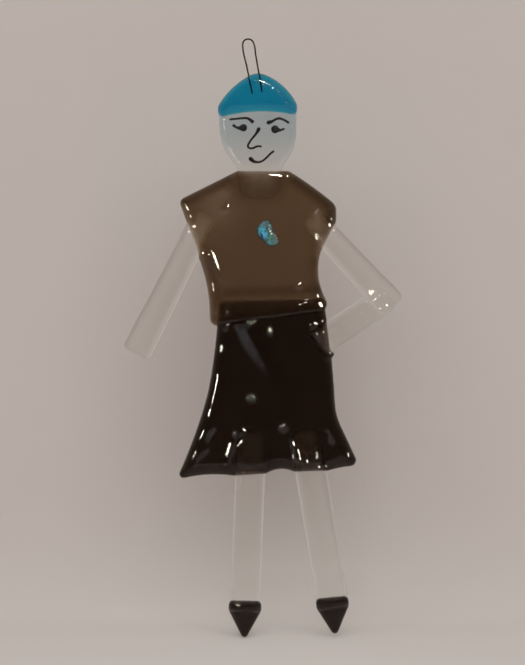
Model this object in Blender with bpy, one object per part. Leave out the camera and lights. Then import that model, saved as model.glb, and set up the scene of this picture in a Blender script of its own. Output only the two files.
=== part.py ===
"""Kiln-fused glass lady: a flat hanging figure of cut sheet-glass pieces.

Metres, +Z up, front towards -Y. The origin is the point of the wire loop that
bears on a hook. Every piece lies on one flat shelf plane, its back, and pieces
that lie over others are draped: their front rises and their back is hollowed.
"""

import math

import bmesh
import bpy
import numpy as np
from mathutils import Vector
from mathutils.geometry import delaunay_2d_cdt

MM = 0.001

# Sheet glass and how the kiln leaves it
SHEET = 3.0 * MM            # thickness of the sheet glass
EDGE_ROLL = 2.3 * MM        # width of the fire-rounded front edge
FOOT_ROLL = 0.4 * MM        # small rounding next to the shelf
COVER = 2.2 * MM            # glass left over a piece that lies underneath
DRAPE_REACH = 5.0 * MM      # how far beside a buried piece the front starts to rise
FIT = 0.3 * MM              # gap between pieces
PAINT_GAP = 0.1 * MM        # gap under the painted strokes
WIDEST = 0.35               # share of the thickness at which an edge bulges most

# Hanging loop
WIRE_DIAMETER = 0.6 * MM
LOOP_WIDTH = 4.7 * MM       # between wire centres at the bow
LOOP_FOOT_WIDTH = 4.2 * MM  # between wire centres at the buried ends
LOOP_RISE = 14.0 * MM       # bearing point above the crown of the cap
LOOP_BURIED = 8.2 * MM      # length of wire held between cap and head
LOOP_TILT = math.radians(10.5)

# Cap and head
HEAD_X = 4.2 * MM           # head's centre line from the loop's bearing point
CAP_WIDTH = 34.0 * MM
CAP_HEIGHT = 18.8 * MM      # crown to the lower corners
CAP_SIDE = 4.4 * MM         # upright stretch at each side of the cap
CAP_ARCH = 2.1 * MM         # rise of the cap's lower edge over the brow
CAP_SWELL = 2.5 * MM        # outward bow of the cap's two slopes
CAP_CORNER = 2.4 * MM
CAP_LAP = 0.5 * MM          # how far the cap stands out past the head's rim
CROWN_ROUND = 8.0 * MM
FACE_HEIGHT = 24.8 * MM     # cap's lower edge to the neckline
JAW_HEIGHT = 16.5 * MM      # stretch over which the cheeks narrow to the neck
JAW_SWELL = 1.9 * MM
NECK_X = 5.2 * MM
NECK_WIDTH = 18.6 * MM
NECK_SHOWN = 2.6 * MM       # straight neck above the neckline
NECK_TAB = 11.4 * MM        # neck below the neckline, under the bodice

# Enamel strokes of the face
PAINT_THICKNESS = 0.35 * MM
LINE_WIDTH = 0.62 * MM
BLOB_WIDTH = 1.5 * MM
EYE_WIDTH = 3.1 * MM

# Bodice and brooch
SHOULDER_X = 4.5 * MM
SHOULDER_WIDTH = 66.0 * MM
NECKLINE_WIDTH = 23.6 * MM
LEFT_SHOULDER_DROP = 13.0 * MM
RIGHT_SHOULDER_DROP = 14.4 * MM
RIGHT_SLEEVE = 6.4 * MM     # height of the blunt right shoulder end
SHOULDER_CORNER = 2.6 * MM
UNDERARM_X = 5.4 * MM
UNDERARM_WIDTH = 51.4 * MM
UNDERARM_DROP = 35.2 * MM   # neckline to the underarm corners
BODICE_HEIGHT = 62.4 * MM   # neckline to the middle of the lower edge
BODICE_SLOPE = 5.6 * MM     # lower edge stands higher on the right by this
WAIST_X = 9.9 * MM
BODICE_HEM_WIDTH = 52.0 * MM
LEFT_WAIST_CURVE = 1.5 * MM
RIGHT_WAIST_CURVE = 3.5 * MM
BODICE_CORNER = 3.2 * MM
BROOCH_X = 3.2 * MM         # brooch's middle from the neck's centre line
BROOCH_DROP = 26.3 * MM     # brooch's middle below the neckline
BROOCH_WIDTH = 9.4 * MM
BROOCH_HEIGHT = 11.4 * MM
BROOCH_THICKNESS = 1.7 * MM
BROOCH_CORNER = 1.5 * MM

# Skirt
WAIST_LAP = 9.0 * MM        # skirt's top above the middle of the bodice's lower edge
SKIRT_TOP_WIDTH = 44.6 * MM
SKIRT_HEIGHT = 73.6 * MM
HEM_X = 8.8 * MM
HEM_WIDTH = 77.0 * MM
HEM_SLOPE = 5.8 * MM        # hem's right corner stands higher by this
HEM_CORNER = 2.6 * MM
FLARE_HEIGHT = 29.0 * MM    # flared stretch above the hem's corners
FLARE_SPREAD = 11.2 * MM    # how far each corner flares out over that stretch
FLARE_ROUND = 22.0 * MM
FLARE_SAG = 0.9 * MM        # inward bow of the skirt's left side
HIP_SWELL = 0.4 * MM        # outward bow of the skirt's side over the forearm
HEM_ARCH = 1.6 * MM         # rise of the hem between and beside the legs

# Arms
ARM_WIDTH = 10.9 * MM       # arms at the shoulder
HAND_WIDTH = 13.1 * MM      # straight arm's free end
ARM_CORNER = 2.6 * MM
STRAIGHT_ARM_IN = 11.6 * MM     # top's middle inside the shoulder's end
STRAIGHT_ARM_DROP = 3.6 * MM    # top's middle below the left shoulder tip
STRAIGHT_ARM_LENGTH = 67.0 * MM
STRAIGHT_ARM_TILT = math.radians(26.6)
UPPER_ARM_IN = 12.2 * MM
UPPER_ARM_DROP = 3.2 * MM
UPPER_ARM_LENGTH = 53.0 * MM
UPPER_ARM_TILT = math.radians(42.7)
ELBOW_WIDTH = 13.0 * MM
ELBOW_LAP = 4.6 * MM        # forearm's end short of the upper arm's end
FOREARM_LENGTH = 37.4 * MM
FOREARM_TILT = math.radians(34.4)
FOREARM_WIDTH = 11.2 * MM
HIP_WIDTH = 13.4 * MM

# Legs and shoes
LEFT_LEG_X = 1.2 * MM       # legs' centre lines at the hem
RIGHT_LEG_X = 26.9 * MM
LEFT_LEG_TILT = math.radians(2.3)
RIGHT_LEG_TILT = math.radians(-9.5)
LEFT_LEG_WIDTH = 12.7 * MM
RIGHT_LEG_WIDTH = 13.4 * MM
LEFT_LEG_SHOWN = 53.0 * MM  # hem to the shoe
RIGHT_LEG_SHOWN = 52.2 * MM
LEG_BURIED = 19.5 * MM      # leg under the skirt
LEG_CORNER = 4.4 * MM
SHOE_LAP = 5.0 * MM         # leg under the shoe
SHOE_WIDTH = 14.0 * MM
SHOE_SIDE = 4.4 * MM        # upright sides above the pointed toe
SHOE_LENGTH = 16.8 * MM
SHOE_CORNER = 2.2 * MM
SHOE_TURN = 0.55            # share of the leg's lean that the shoe follows
TOE_ROUND = 1.7 * MM

# Fineness of the solids
STEP = 3.4 * MM             # between points on an outline and between its rings
ARC_STEP = math.radians(24)
ROLL_STEPS = 3
CUT_DEPTH = 1.0 * MM        # how far cutters reach past the back plane

WIRE_RADIUS = WIRE_DIAMETER / 2
BACK_Y = SHEET + FIT + WIRE_RADIUS
CROWN_Z = -LOOP_RISE
CAP_FOOT_Z = CROWN_Z - CAP_HEIGHT
FACE_TOP_Z = CAP_FOOT_Z + CAP_ARCH
NECKLINE_Z = FACE_TOP_Z - FACE_HEIGHT
BODICE_FOOT_Z = NECKLINE_Z - BODICE_HEIGHT
SKIRT_TOP_Z = BODICE_FOOT_Z + WAIST_LAP
HEM_Z = SKIRT_TOP_Z - SKIRT_HEIGHT


def clear_scene():
    """Remove everything that a new Blender file starts with."""
    for item in list(bpy.data.objects):
        bpy.data.objects.remove(item, do_unlink=True)


def finish(name, colour, roughness, metallic=0.0, transmission=0.0):
    """Principled material with one plain colour."""
    material = bpy.data.materials.new(name)
    material.use_nodes = True
    shader = material.node_tree.nodes["Principled BSDF"]
    shader.inputs["Base Color"].default_value = (*colour, 1.0)
    shader.inputs["Roughness"].default_value = roughness
    shader.inputs["Metallic"].default_value = metallic
    shader.inputs["Transmission Weight"].default_value = transmission
    return material


def outline(corners, step):
    """Closed outline, counter-clockwise from the front, with round corners and bowed sides.

    Each corner is (x, z, radius, bow), where bow is how far the side that leads on
    to the next corner swells out at its middle. Points on a side lie a step apart,
    or only where a bow needs them without one.
    """
    count = len(corners)
    spots = [Vector(corner[:2]) for corner in corners]
    chords = [spots[(i + 1) % count] - spots[i] for i in range(count)]
    outs = [Vector((chord.y, -chord.x)).normalized() for chord in chords]
    bows = [corner[3] for corner in corners]

    def along(i, t):
        return spots[i] + chords[i] * t + outs[i] * (4 * bows[i] * t * (1 - t))

    turns, trims = [], []
    for i in range(count):
        coming = chords[i - 1] - outs[i - 1] * (4 * bows[i - 1])
        going = chords[i] + outs[i] * (4 * bows[i])
        turn = coming.angle_signed(going)
        reach = corners[i][2] * math.tan(abs(turn) / 2)
        reach = min(reach, 0.46 * chords[i - 1].length, 0.46 * chords[i].length)
        turns.append(turn)
        trims.append(reach)
    points = []
    for i in range(count):
        start = along(i - 1, 1 - trims[i] / chords[i - 1].length)
        end = along(i, trims[i] / chords[i].length)
        weight = math.cos(turns[i] / 2)
        pieces = max(2, round(abs(turns[i]) / ARC_STEP))
        for k in range(pieces + 1):
            t = k / pieces
            shares = ((1 - t) ** 2, 2 * weight * t * (1 - t), t * t)
            blend = start * shares[0] + spots[i] * shares[1] + end * shares[2]
            points.append(blend / sum(shares))
        first = trims[i] / chords[i].length
        last = 1 - trims[(i + 1) % count] / chords[i].length
        if step:
            pieces = max(1, round((last - first) * chords[i].length / step))
        else:
            pieces = 6 if bows[i] else 1
        for k in range(1, pieces):
            points.append(along(i, first + (last - first) * k / pieces))
    kept = [points[i] for i in range(len(points)) if (points[i] - points[i - 1]).length > 0.15 * STEP]
    return np.array([tuple(point) for point in kept])


def outward(points):
    """Unit normals that point out of a counter-clockwise outline."""
    ahead = np.roll(points, -1, axis=0) - np.roll(points, 1, axis=0)
    normals = np.stack((ahead[:, 1], -ahead[:, 0]), axis=1)
    return normals / np.linalg.norm(normals, axis=1)[:, None]


def roll_widths(points, normals):
    """Width of the edge roll at each point, less where a tight corner leaves no room for it."""
    sides = np.roll(points, -1, axis=0) - points
    closing = ((np.roll(normals, -1, axis=0) - normals) * sides).sum(1)
    room = 0.7 * (sides * sides).sum(1) / np.maximum(closing, 1e-12)
    widths = np.minimum(EDGE_ROLL, np.minimum(room, np.roll(room, 1)))
    for _ in range(4):
        widths = np.minimum(widths, (np.roll(widths, 1) + widths + np.roll(widths, -1)) / 3)
    return widths[:, None]


def distance_outside(spots, points):
    """Distance from each spot to an outline, nothing for spots inside it."""
    starts = points[None, :, :]
    sides = np.roll(points, -1, axis=0)[None, :, :] - starts
    away = spots[:, None, :] - starts
    share = (away * sides).sum(2) / np.maximum((sides * sides).sum(2), 1e-18)
    gaps = np.linalg.norm(away - sides * np.clip(share, 0, 1)[..., None], axis=2)
    ends = starts + sides
    crosses = (starts[..., 1] > spots[:, None, 1]) != (ends[..., 1] > spots[:, None, 1])
    rise = np.where(sides[..., 1] == 0, 1.0, sides[..., 1])
    where = starts[..., 0] + (spots[:, None, 1] - starts[..., 1]) * sides[..., 0] / rise
    inside = (crosses & (spots[:, None, 0] < where)).sum(1) % 2 == 1
    return np.where(inside, 0.0, gaps.min(1))


def fill(shape, loop, turned=False):
    """Close a ring of vertices with well-shaped triangles that face the front, or the back."""
    flat = [Vector((vert.co.x, vert.co.z)) / MM for vert in loop]
    found = delaunay_2d_cdt(flat, [], [range(len(loop))], 1, 1e-6)
    for face in found[2]:
        corners = [loop[found[3][i][0]] for i in face]
        shape.faces.new(corners[::-1] if turned else corners)


def solid(name, rings):
    """Closed mesh through rings of (x, height, z) points, from the back to the middle of the front."""
    shape = bmesh.new()
    loops = [[shape.verts.new((x, BACK_Y - height, z)) for x, height, z in ring] for ring in rings]
    fill(shape, loops[0], turned=True)
    for outer, inner in zip(loops, loops[1:]):
        for i in range(len(outer)):
            j = (i + 1) % len(outer)
            shape.faces.new((outer[i], outer[j], inner[j], inner[i]))
    fill(shape, loops[-1])
    bmesh.ops.triangulate(shape, faces=shape.faces[:])
    mesh = bpy.data.meshes.new(name)
    shape.to_mesh(mesh)
    shape.free()
    return mesh


def add_object(name, mesh, material=None):
    """Link a mesh to the scene; without a material it is a hidden cutter."""
    item = bpy.data.objects.new(name, mesh)
    bpy.context.collection.objects.link(item)
    if material is None:
        item.hide_render = True
        item.display_type = "WIRE"
    else:
        mesh.materials.append(material)
    return item


def cut(item, cutter_mesh):
    """Take a hidden cutter out of an object with an exact Boolean."""
    cutter = add_object(item.name + "_cutter", cutter_mesh)
    step = item.modifiers.new("pocket", "BOOLEAN")
    step.operation = "DIFFERENCE"
    step.solver = "EXACT"
    step.object = cutter


class Pane:
    """One piece of sheet glass, flat on the shelf or draped over the panes under it."""

    def __init__(self, name, corners, over=(), spine=None, base=0.0, thickness=SHEET):
        self.name = name
        self.points = outline(corners, STEP if over else None)
        self.normals = outward(self.points)
        self.roll = roll_widths(self.points, self.normals)
        self.over = over
        self.spine = spine
        self.base = base
        self.thickness = thickness

    def front(self, spots):
        """Height of the unrounded front above the shelf at some (x, z) spots."""
        height = np.full(len(spots), self.base + self.thickness)
        for pane in self.over:
            near = 1 - np.clip(distance_outside(spots, pane.points) / DRAPE_REACH, 0, 1)
            needed = pane.front(spots) + FIT + COVER - self.base - self.thickness
            lift = np.maximum(needed, 0) * near * near * (3 - 2 * near)
            height = np.maximum(height, self.base + self.thickness + lift)
        return height

    def ring(self, spots, drop):
        """Points of one ring that lies some way below the unrounded front."""
        height = self.front(spots) - drop
        return np.stack((spots[:, 0], height, spots[:, 1]), axis=1)

    def to_spine(self, spots):
        """Nearest point of the spine for each spot."""
        start, end = (np.array(point) for point in self.spine)
        side = end - start
        share = np.clip((spots - start) @ side / (side @ side), 0, 1)
        return start + share[:, None] * side

    def rings(self, grow=0.0):
        """Rings of the pane, or of its cutter, which is larger all round by grow."""
        normals = self.normals
        rim = self.points + normals * grow
        full = self.thickness * (1 - WIDEST)
        if grow:
            foot, floor = rim, self.base - CUT_DEPTH
        else:
            foot, floor = rim - normals * FOOT_ROLL, self.base
        rings = [np.stack((foot[:, 0], np.full(len(foot), floor), foot[:, 1]), axis=1)]
        for k in range(ROLL_STEPS + 1):
            angle = k / ROLL_STEPS * math.pi / 2
            spots = rim - normals * (self.roll * (1 - math.cos(angle)))
            rings.append(self.ring(spots, full * (1 - math.sin(angle)) - grow))
        if self.over:
            goal = self.to_spine(spots)
            reach = np.linalg.norm(goal - spots, axis=1).max()
            steps = max(2, round(reach / STEP))
            for k in range(1, steps):
                rings.append(self.ring(spots + (goal - spots) * (k / steps), -grow))
        return rings

    def build(self, material):
        """Make the object and hollow it for the panes that it lies over."""
        item = add_object(self.name, solid(self.name, self.rings()), material)
        for pane in self.over:
            cut(item, solid(pane.name + "_space", pane.rings(grow=FIT)))
        return item


def strip(start, end, start_width, end_width, corner):
    """Corners of a straight tapered strip between the middles of its two ends."""
    start, end = Vector(start), Vector(end)
    way = (end - start).normalized()
    across = Vector((way.y, -way.x))
    spots = (
        start + across * start_width / 2,
        start - across * start_width / 2,
        end - across * end_width / 2,
        end + across * end_width / 2,
    )
    return [(spot.x, spot.y, corner, 0.0) for spot in reversed(spots)]


def along_line(start, tilt, length):
    """Point some way down a line that leans from the vertical towards -X by tilt."""
    return (start[0] - math.sin(tilt) * length, start[1] - math.cos(tilt) * length)


def crown_corners(inset, radius):
    """Right side, crown and left side of the cap, or of the head that lies inside it."""
    half = CAP_WIDTH / 2 - inset
    side_z = CAP_FOOT_Z + CAP_SIDE
    return [
        (HEAD_X + half, side_z + 0.8 * MM, radius, CAP_SWELL),
        (HEAD_X, CROWN_Z + 0.6 * MM - inset, CROWN_ROUND, CAP_SWELL * 0.8),
        (HEAD_X - half, side_z, radius, 0.0),
    ]


def head_pane():
    """Clear blank: crown under the cap, cheeks, jaw and the neck's tab."""
    half = CAP_WIDTH / 2 - CAP_LAP
    tab_z = NECKLINE_Z - NECK_TAB
    neck_z = NECKLINE_Z + NECK_SHOWN
    left, right = NECK_X - NECK_WIDTH / 2, NECK_X + NECK_WIDTH / 2
    cheek_z = neck_z + JAW_HEIGHT
    corners = [
        (left + 0.6 * MM, tab_z, NECK_WIDTH * 0.34, 0.0),
        (right - 0.6 * MM, tab_z, NECK_WIDTH * 0.34, 0.0),
        (right, neck_z, LEG_CORNER, JAW_SWELL),
        (HEAD_X + half, cheek_z, CROWN_ROUND, 0.0),
        *crown_corners(CAP_LAP, 2 * CAP_CORNER),
        (HEAD_X - half + 0.5 * MM, cheek_z, CROWN_ROUND, JAW_SWELL),
        (left, neck_z, LEG_CORNER, 0.0),
    ]
    return Pane("head", corners)


def cap_pane(head):
    """Turquoise piece on the head's front."""
    corners = [
        (HEAD_X - CAP_WIDTH / 2 + 1.0 * MM, CAP_FOOT_Z, CAP_CORNER, -CAP_ARCH),
        (HEAD_X + CAP_WIDTH / 2 - 0.4 * MM, CAP_FOOT_Z + 1.0 * MM, CAP_CORNER, 0.0),
        *crown_corners(0.0, 2 * CAP_CORNER),
    ]
    return Pane("cap", corners, base=head.thickness + FIT)


def loop_path(extra=0.0):
    """Wire's centre line as (x, z): up one leg, round the bow and down the other."""
    bow = LOOP_WIDTH / 2
    foot = LOOP_FOOT_WIDTH / 2
    top = WIRE_RADIUS - bow
    low = -(LOOP_RISE + LOOP_BURIED) / math.cos(LOOP_TILT) - extra
    legs = 4
    path = []
    for k in range(legs):
        t = k / legs
        path.append((-(foot + (bow - foot) * t), low + (top - low) * t))
    turns = 14
    for k in range(turns + 1):
        angle = math.pi * (1 - k / turns)
        path.append((bow * math.cos(angle), top + bow * math.sin(angle)))
    path += [(-x, z) for x, z in path[:legs][::-1]]
    lean = (math.cos(LOOP_TILT), math.sin(LOOP_TILT))
    return np.array([(x * lean[0] - z * lean[1], x * lean[1] + z * lean[0]) for x, z in path])


def tube(name, path, radius, sides=8):
    """Closed round wire along a flat path in the plane of the origin."""
    ways = np.gradient(path, axis=0)
    ways /= np.linalg.norm(ways, axis=1)[:, None]
    shape = bmesh.new()
    loops = []
    for (x, z), way in zip(path, ways):
        loop = []
        for k in range(sides):
            angle = 2 * math.pi * k / sides
            side, depth = radius * math.cos(angle), radius * math.sin(angle)
            loop.append(shape.verts.new((x - way[1] * side, depth, z + way[0] * side)))
        loops.append(loop)
    for one, two in zip(loops, loops[1:]):
        for i in range(sides):
            j = (i + 1) % sides
            shape.faces.new((one[i], one[j], two[j], two[i]))
    shape.faces.new(loops[0][::-1])
    shape.faces.new(loops[-1])
    bmesh.ops.recalc_face_normals(shape, faces=shape.faces[:])
    mesh = bpy.data.meshes.new(name)
    shape.to_mesh(mesh)
    shape.free()
    return mesh


def smooth_line(points, steps=4):
    """Catmull-Rom curve through rows of numbers."""
    rows = np.array(points)
    padded = np.vstack((2 * rows[0] - rows[1], rows, 2 * rows[-1] - rows[-2]))
    curve = []
    for i in range(1, len(padded) - 2):
        a, b, c, d = padded[i - 1 : i + 3]
        for k in range(steps):
            t = k / steps
            curve.append(
                b + 0.5 * t * (c - a + t * (2 * a - 5 * b + 4 * c - d + t * (3 * (b - c) + d - a)))
            )
    curve.append(rows[-1])
    return np.array(curve)


def stroke(name, points, seat, material):
    """Raised enamel line through (across, down, width) points of the face, with round ends."""
    rows = [
        (HEAD_X + across * CAP_WIDTH, FACE_TOP_Z - down * FACE_HEIGHT, width / 2)
        for across, down, width in points
    ]
    line = smooth_line(rows)
    ways = np.gradient(line[:, :2], axis=0)
    ways /= np.linalg.norm(ways, axis=1)[:, None]
    sides = np.stack((ways[:, 1], -ways[:, 0]), axis=1) * line[:, 2:3]
    right, left = line[:, :2] + sides, line[:, :2] - sides

    def cap(spot, way, width):
        turn = math.atan2(way[1], way[0])
        angles = [turn + math.pi * (k / 6 - 0.5) for k in range(1, 6)]
        return [(spot[0] + width * math.cos(a), spot[1] + width * math.sin(a)) for a in angles]

    rim = np.array(
        [
            *right,
            *cap(line[-1], ways[-1], line[-1, 2]),
            *left[::-1],
            *cap(line[0], -ways[0], line[0, 2]),
        ]
    )
    levels = (seat, seat + PAINT_THICKNESS)
    rings = [np.stack((rim[:, 0], np.full(len(rim), level), rim[:, 1]), axis=1) for level in levels]
    return add_object(name, solid(name, rings), material)


def build_face(seat, material):
    """The six painted strokes, placed as shares of the face's width and height."""
    thin, blob, eye = LINE_WIDTH, BLOB_WIDTH, EYE_WIDTH
    stroke(
        "left_brow",
        [(-0.34, 0.12, thin), (-0.17, 0.1, thin), (-0.115, 0.108, thin), (-0.062, 0.165, blob)],
        seat,
        material("brow_enamel_left"),
    )
    stroke(
        "right_brow",
        [
            (0.14, 0.18, blob),
            (0.195, 0.155, thin),
            (0.25, 0.115, thin),
            (0.3, 0.115, thin),
            (0.39, 0.18, thin),
        ],
        seat,
        material("brow_enamel_right"),
    )
    stroke(
        "left_eye",
        [(-0.172, 0.265, eye), (-0.23, 0.262, thin * 1.3), (-0.295, 0.228, thin * 1.6)],
        seat,
        material("eye_enamel_left"),
    )
    stroke(
        "right_eye",
        [(0.222, 0.293, eye * 1.1), (0.285, 0.305, thin * 1.5), (0.33, 0.285, thin * 1.4)],
        seat,
        material("eye_enamel_right"),
    )
    stroke(
        "nose_line",
        [
            (0.018, 0.29, blob * 0.9),
            (-0.012, 0.37, thin),
            (-0.1, 0.515, thin),
            (-0.122, 0.58, thin),
            (-0.098, 0.61, thin),
            (-0.06, 0.612, thin),
            (-0.02, 0.588, thin),
            (0.045, 0.58, thin),
        ],
        seat,
        material("nose_enamel"),
    )
    stroke(
        "mouth_line",
        [
            (-0.083, 0.8, blob * 1.1),
            (-0.042, 0.843, thin * 1.3),
            (0.0, 0.852, thin * 1.2),
            (0.062, 0.832, thin),
            (0.116, 0.778, thin),
            (0.2, 0.672, thin * 0.9),
        ],
        seat,
        material("mouth_enamel"),
    )


def straight_arm_pane():
    """Clear strip that hangs from the left shoulder."""
    top = (
        SHOULDER_X - SHOULDER_WIDTH / 2 + STRAIGHT_ARM_IN,
        NECKLINE_Z - LEFT_SHOULDER_DROP - STRAIGHT_ARM_DROP,
    )
    hand = along_line(top, STRAIGHT_ARM_TILT, STRAIGHT_ARM_LENGTH)
    return Pane("straight_arm", strip(top, hand, ARM_WIDTH, HAND_WIDTH, ARM_CORNER))


def bent_arm_panes():
    """Forearm from elbow to hip, and the upper arm that lies over its elbow end."""
    top = (
        SHOULDER_X + SHOULDER_WIDTH / 2 - UPPER_ARM_IN,
        NECKLINE_Z - RIGHT_SHOULDER_DROP - UPPER_ARM_DROP,
    )
    elbow = along_line(top, -UPPER_ARM_TILT, UPPER_ARM_LENGTH)
    joint = along_line(top, -UPPER_ARM_TILT, UPPER_ARM_LENGTH - ELBOW_LAP)
    reach = FOREARM_WIDTH / 2
    tilt = math.pi / 2 - FOREARM_TILT
    start = along_line(joint, tilt, -0.3 * reach)
    hip = along_line(start, tilt, FOREARM_LENGTH)
    forearm = Pane("forearm", strip(start, hip, FOREARM_WIDTH, HIP_WIDTH, ARM_CORNER))
    spine = (
        along_line(top, -UPPER_ARM_TILT, ARM_WIDTH / 2),
        along_line(top, -UPPER_ARM_TILT, UPPER_ARM_LENGTH - ELBOW_WIDTH / 2),
    )
    corners = strip(top, elbow, ARM_WIDTH, ELBOW_WIDTH, ARM_CORNER)
    return forearm, Pane("upper_arm", corners, over=(forearm,), spine=spine)


def leg_pane(name, hem_x, tilt, width, shown):
    """Clear strip from under the skirt down into the shoe."""
    hem = (hem_x, HEM_Z)
    top = along_line(hem, tilt, -LEG_BURIED)
    foot = along_line(hem, tilt, shown + SHOE_LAP)
    return Pane(name, strip(top, foot, width, width, LEG_CORNER))


def shoe_pane(name, hem_x, tilt, leg_width, shown):
    """Pointed piece that steps over the leg's lower end."""
    hem = (hem_x, HEM_Z)
    top = along_line(hem, tilt, shown)
    turn = tilt * SHOE_TURN
    down = Vector((-math.sin(turn), -math.cos(turn)))
    across = Vector((-down.y, down.x))
    half = SHOE_WIDTH / 2
    local = (
        (-half, 0.0, SHOE_CORNER),
        (-half, SHOE_SIDE, 2 * SHOE_CORNER),
        (0.0, SHOE_LENGTH + 0.55 * TOE_ROUND, TOE_ROUND),
        (half, SHOE_SIDE, 2 * SHOE_CORNER),
        (half, 0.0, SHOE_CORNER),
    )
    corners = []
    for side, depth, radius in local:
        spot = Vector(top) + across * side + down * depth
        corners.append((spot.x, spot.y, radius, 0.0))
    spine = [tuple(Vector(top) + down * depth) for depth in (SHOE_SIDE, SHOE_LENGTH * 0.6)]
    wide = max(SHOE_WIDTH, leg_width) + 4 * EDGE_ROLL
    above = along_line(hem, tilt, shown - SHOE_WIDTH)
    below = along_line(hem, tilt, shown + SHOE_LAP)
    step = Pane(name + "_step", strip(above, below, wide, wide, SHOE_CORNER))
    return Pane(name, corners, over=(step,), spine=spine)


def skirt_pane(legs, forearm):
    """Dark flared piece over the legs' tops and the hip end of the forearm."""
    half = HEM_WIDTH / 2
    left, right = HEM_X - half, HEM_X + half
    left_z, right_z = HEM_Z - HEM_SLOPE * 0.4, HEM_Z + HEM_SLOPE * 0.6
    top = SKIRT_TOP_WIDTH / 2
    edges = []
    for x, tilt, width in (
        (LEFT_LEG_X, LEFT_LEG_TILT, LEFT_LEG_WIDTH),
        (RIGHT_LEG_X, RIGHT_LEG_TILT, RIGHT_LEG_WIDTH),
    ):
        reach = width / 2 / math.cos(tilt) + FIT
        edges += [x - reach, x + reach]
    corners = [
        (left, left_z, HEM_CORNER, -HEM_ARCH),
        (edges[0], HEM_Z - 0.5 * MM, HEM_CORNER, 0.0),
        (edges[1], HEM_Z, HEM_CORNER, -HEM_ARCH),
        (edges[2], HEM_Z + 0.8 * MM, HEM_CORNER, 0.0),
        (edges[3], HEM_Z + 1.3 * MM, HEM_CORNER, -HEM_ARCH / 4),
        (right, right_z, HEM_CORNER, 0.0),
        (right - FLARE_SPREAD * 0.95, right_z + FLARE_HEIGHT * 0.75, FLARE_ROUND, HIP_SWELL),
        (WAIST_X + top, SKIRT_TOP_Z + 0.6 * MM, HEM_CORNER, 0.0),
        (WAIST_X - top, SKIRT_TOP_Z - 0.4 * MM, HEM_CORNER, -FLARE_SAG),
        (left + FLARE_SPREAD * 1.15, left_z + FLARE_HEIGHT * 1.25, FLARE_ROUND, -FLARE_SAG),
    ]
    spine = ((WAIST_X, SKIRT_TOP_Z - top * 0.7), (HEM_X, HEM_Z + top * 0.7))
    return Pane("skirt", corners, over=(*legs, forearm), spine=spine)


def bodice_pane(over):
    """Bronze piece over the neck's tab, the arms' tops and the skirt's top."""
    half = SHOULDER_WIDTH / 2
    neck = NECKLINE_WIDTH / 2
    under = UNDERARM_WIDTH / 2
    hem = BODICE_HEM_WIDTH / 2
    left_tip_z = NECKLINE_Z - LEFT_SHOULDER_DROP
    right_tip_z = NECKLINE_Z - RIGHT_SHOULDER_DROP
    under_z = NECKLINE_Z - UNDERARM_DROP
    left_foot_z = BODICE_FOOT_Z - BODICE_SLOPE / 2
    right_foot_z = BODICE_FOOT_Z + BODICE_SLOPE / 2
    corners = [
        (WAIST_X - hem, left_foot_z, BODICE_CORNER, 0.0),
        (WAIST_X + hem, right_foot_z, BODICE_CORNER, -RIGHT_WAIST_CURVE),
        (UNDERARM_X + under, under_z + 1.6 * MM, 2 * BODICE_CORNER, 0.0),
        (SHOULDER_X + half, right_tip_z - RIGHT_SLEEVE, SHOULDER_CORNER, 0.0),
        (SHOULDER_X + half, right_tip_z, 2 * SHOULDER_CORNER, 0.4 * MM),
        (NECK_X + neck + 1.8 * MM, NECKLINE_Z - 0.3 * MM, BODICE_CORNER, 0.0),
        (NECK_X - neck + 1.0 * MM, NECKLINE_Z, BODICE_CORNER, -0.4 * MM),
        (SHOULDER_X - half, left_tip_z, SHOULDER_CORNER, 0.0),
        (UNDERARM_X - under, under_z - 1.6 * MM, 2 * BODICE_CORNER, -LEFT_WAIST_CURVE),
    ]
    spine = (
        (SHOULDER_X, NECKLINE_Z - BODICE_HEIGHT * 0.4),
        (WAIST_X, BODICE_FOOT_Z + BODICE_HEIGHT * 0.24),
    )
    return Pane("bodice", corners, over=over, spine=spine)


def brooch_pane(bodice):
    """Chip of dichroic glass on the bodice's front."""
    x, z = NECK_X + BROOCH_X, NECKLINE_Z - BROOCH_DROP
    wide, high = BROOCH_WIDTH / 2, BROOCH_HEIGHT / 2
    corners = [
        (x - 0.05 * wide, z - high, BROOCH_CORNER, 0.0),
        (x + 0.62 * wide, z - high, BROOCH_CORNER, 0.0),
        (x + wide, z - 0.7 * high, BROOCH_CORNER, 0.0),
        (x + 0.32 * wide, z + high, BROOCH_CORNER, 0.0),
        (x - 0.32 * wide, z + high, BROOCH_CORNER, 0.0),
        (x - wide, z + 0.1 * high, BROOCH_CORNER, 0.0),
    ]
    pane = Pane("brooch", corners, thickness=BROOCH_THICKNESS)
    pane.base = float(bodice.front(pane.points).max()) + FIT
    return pane


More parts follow.
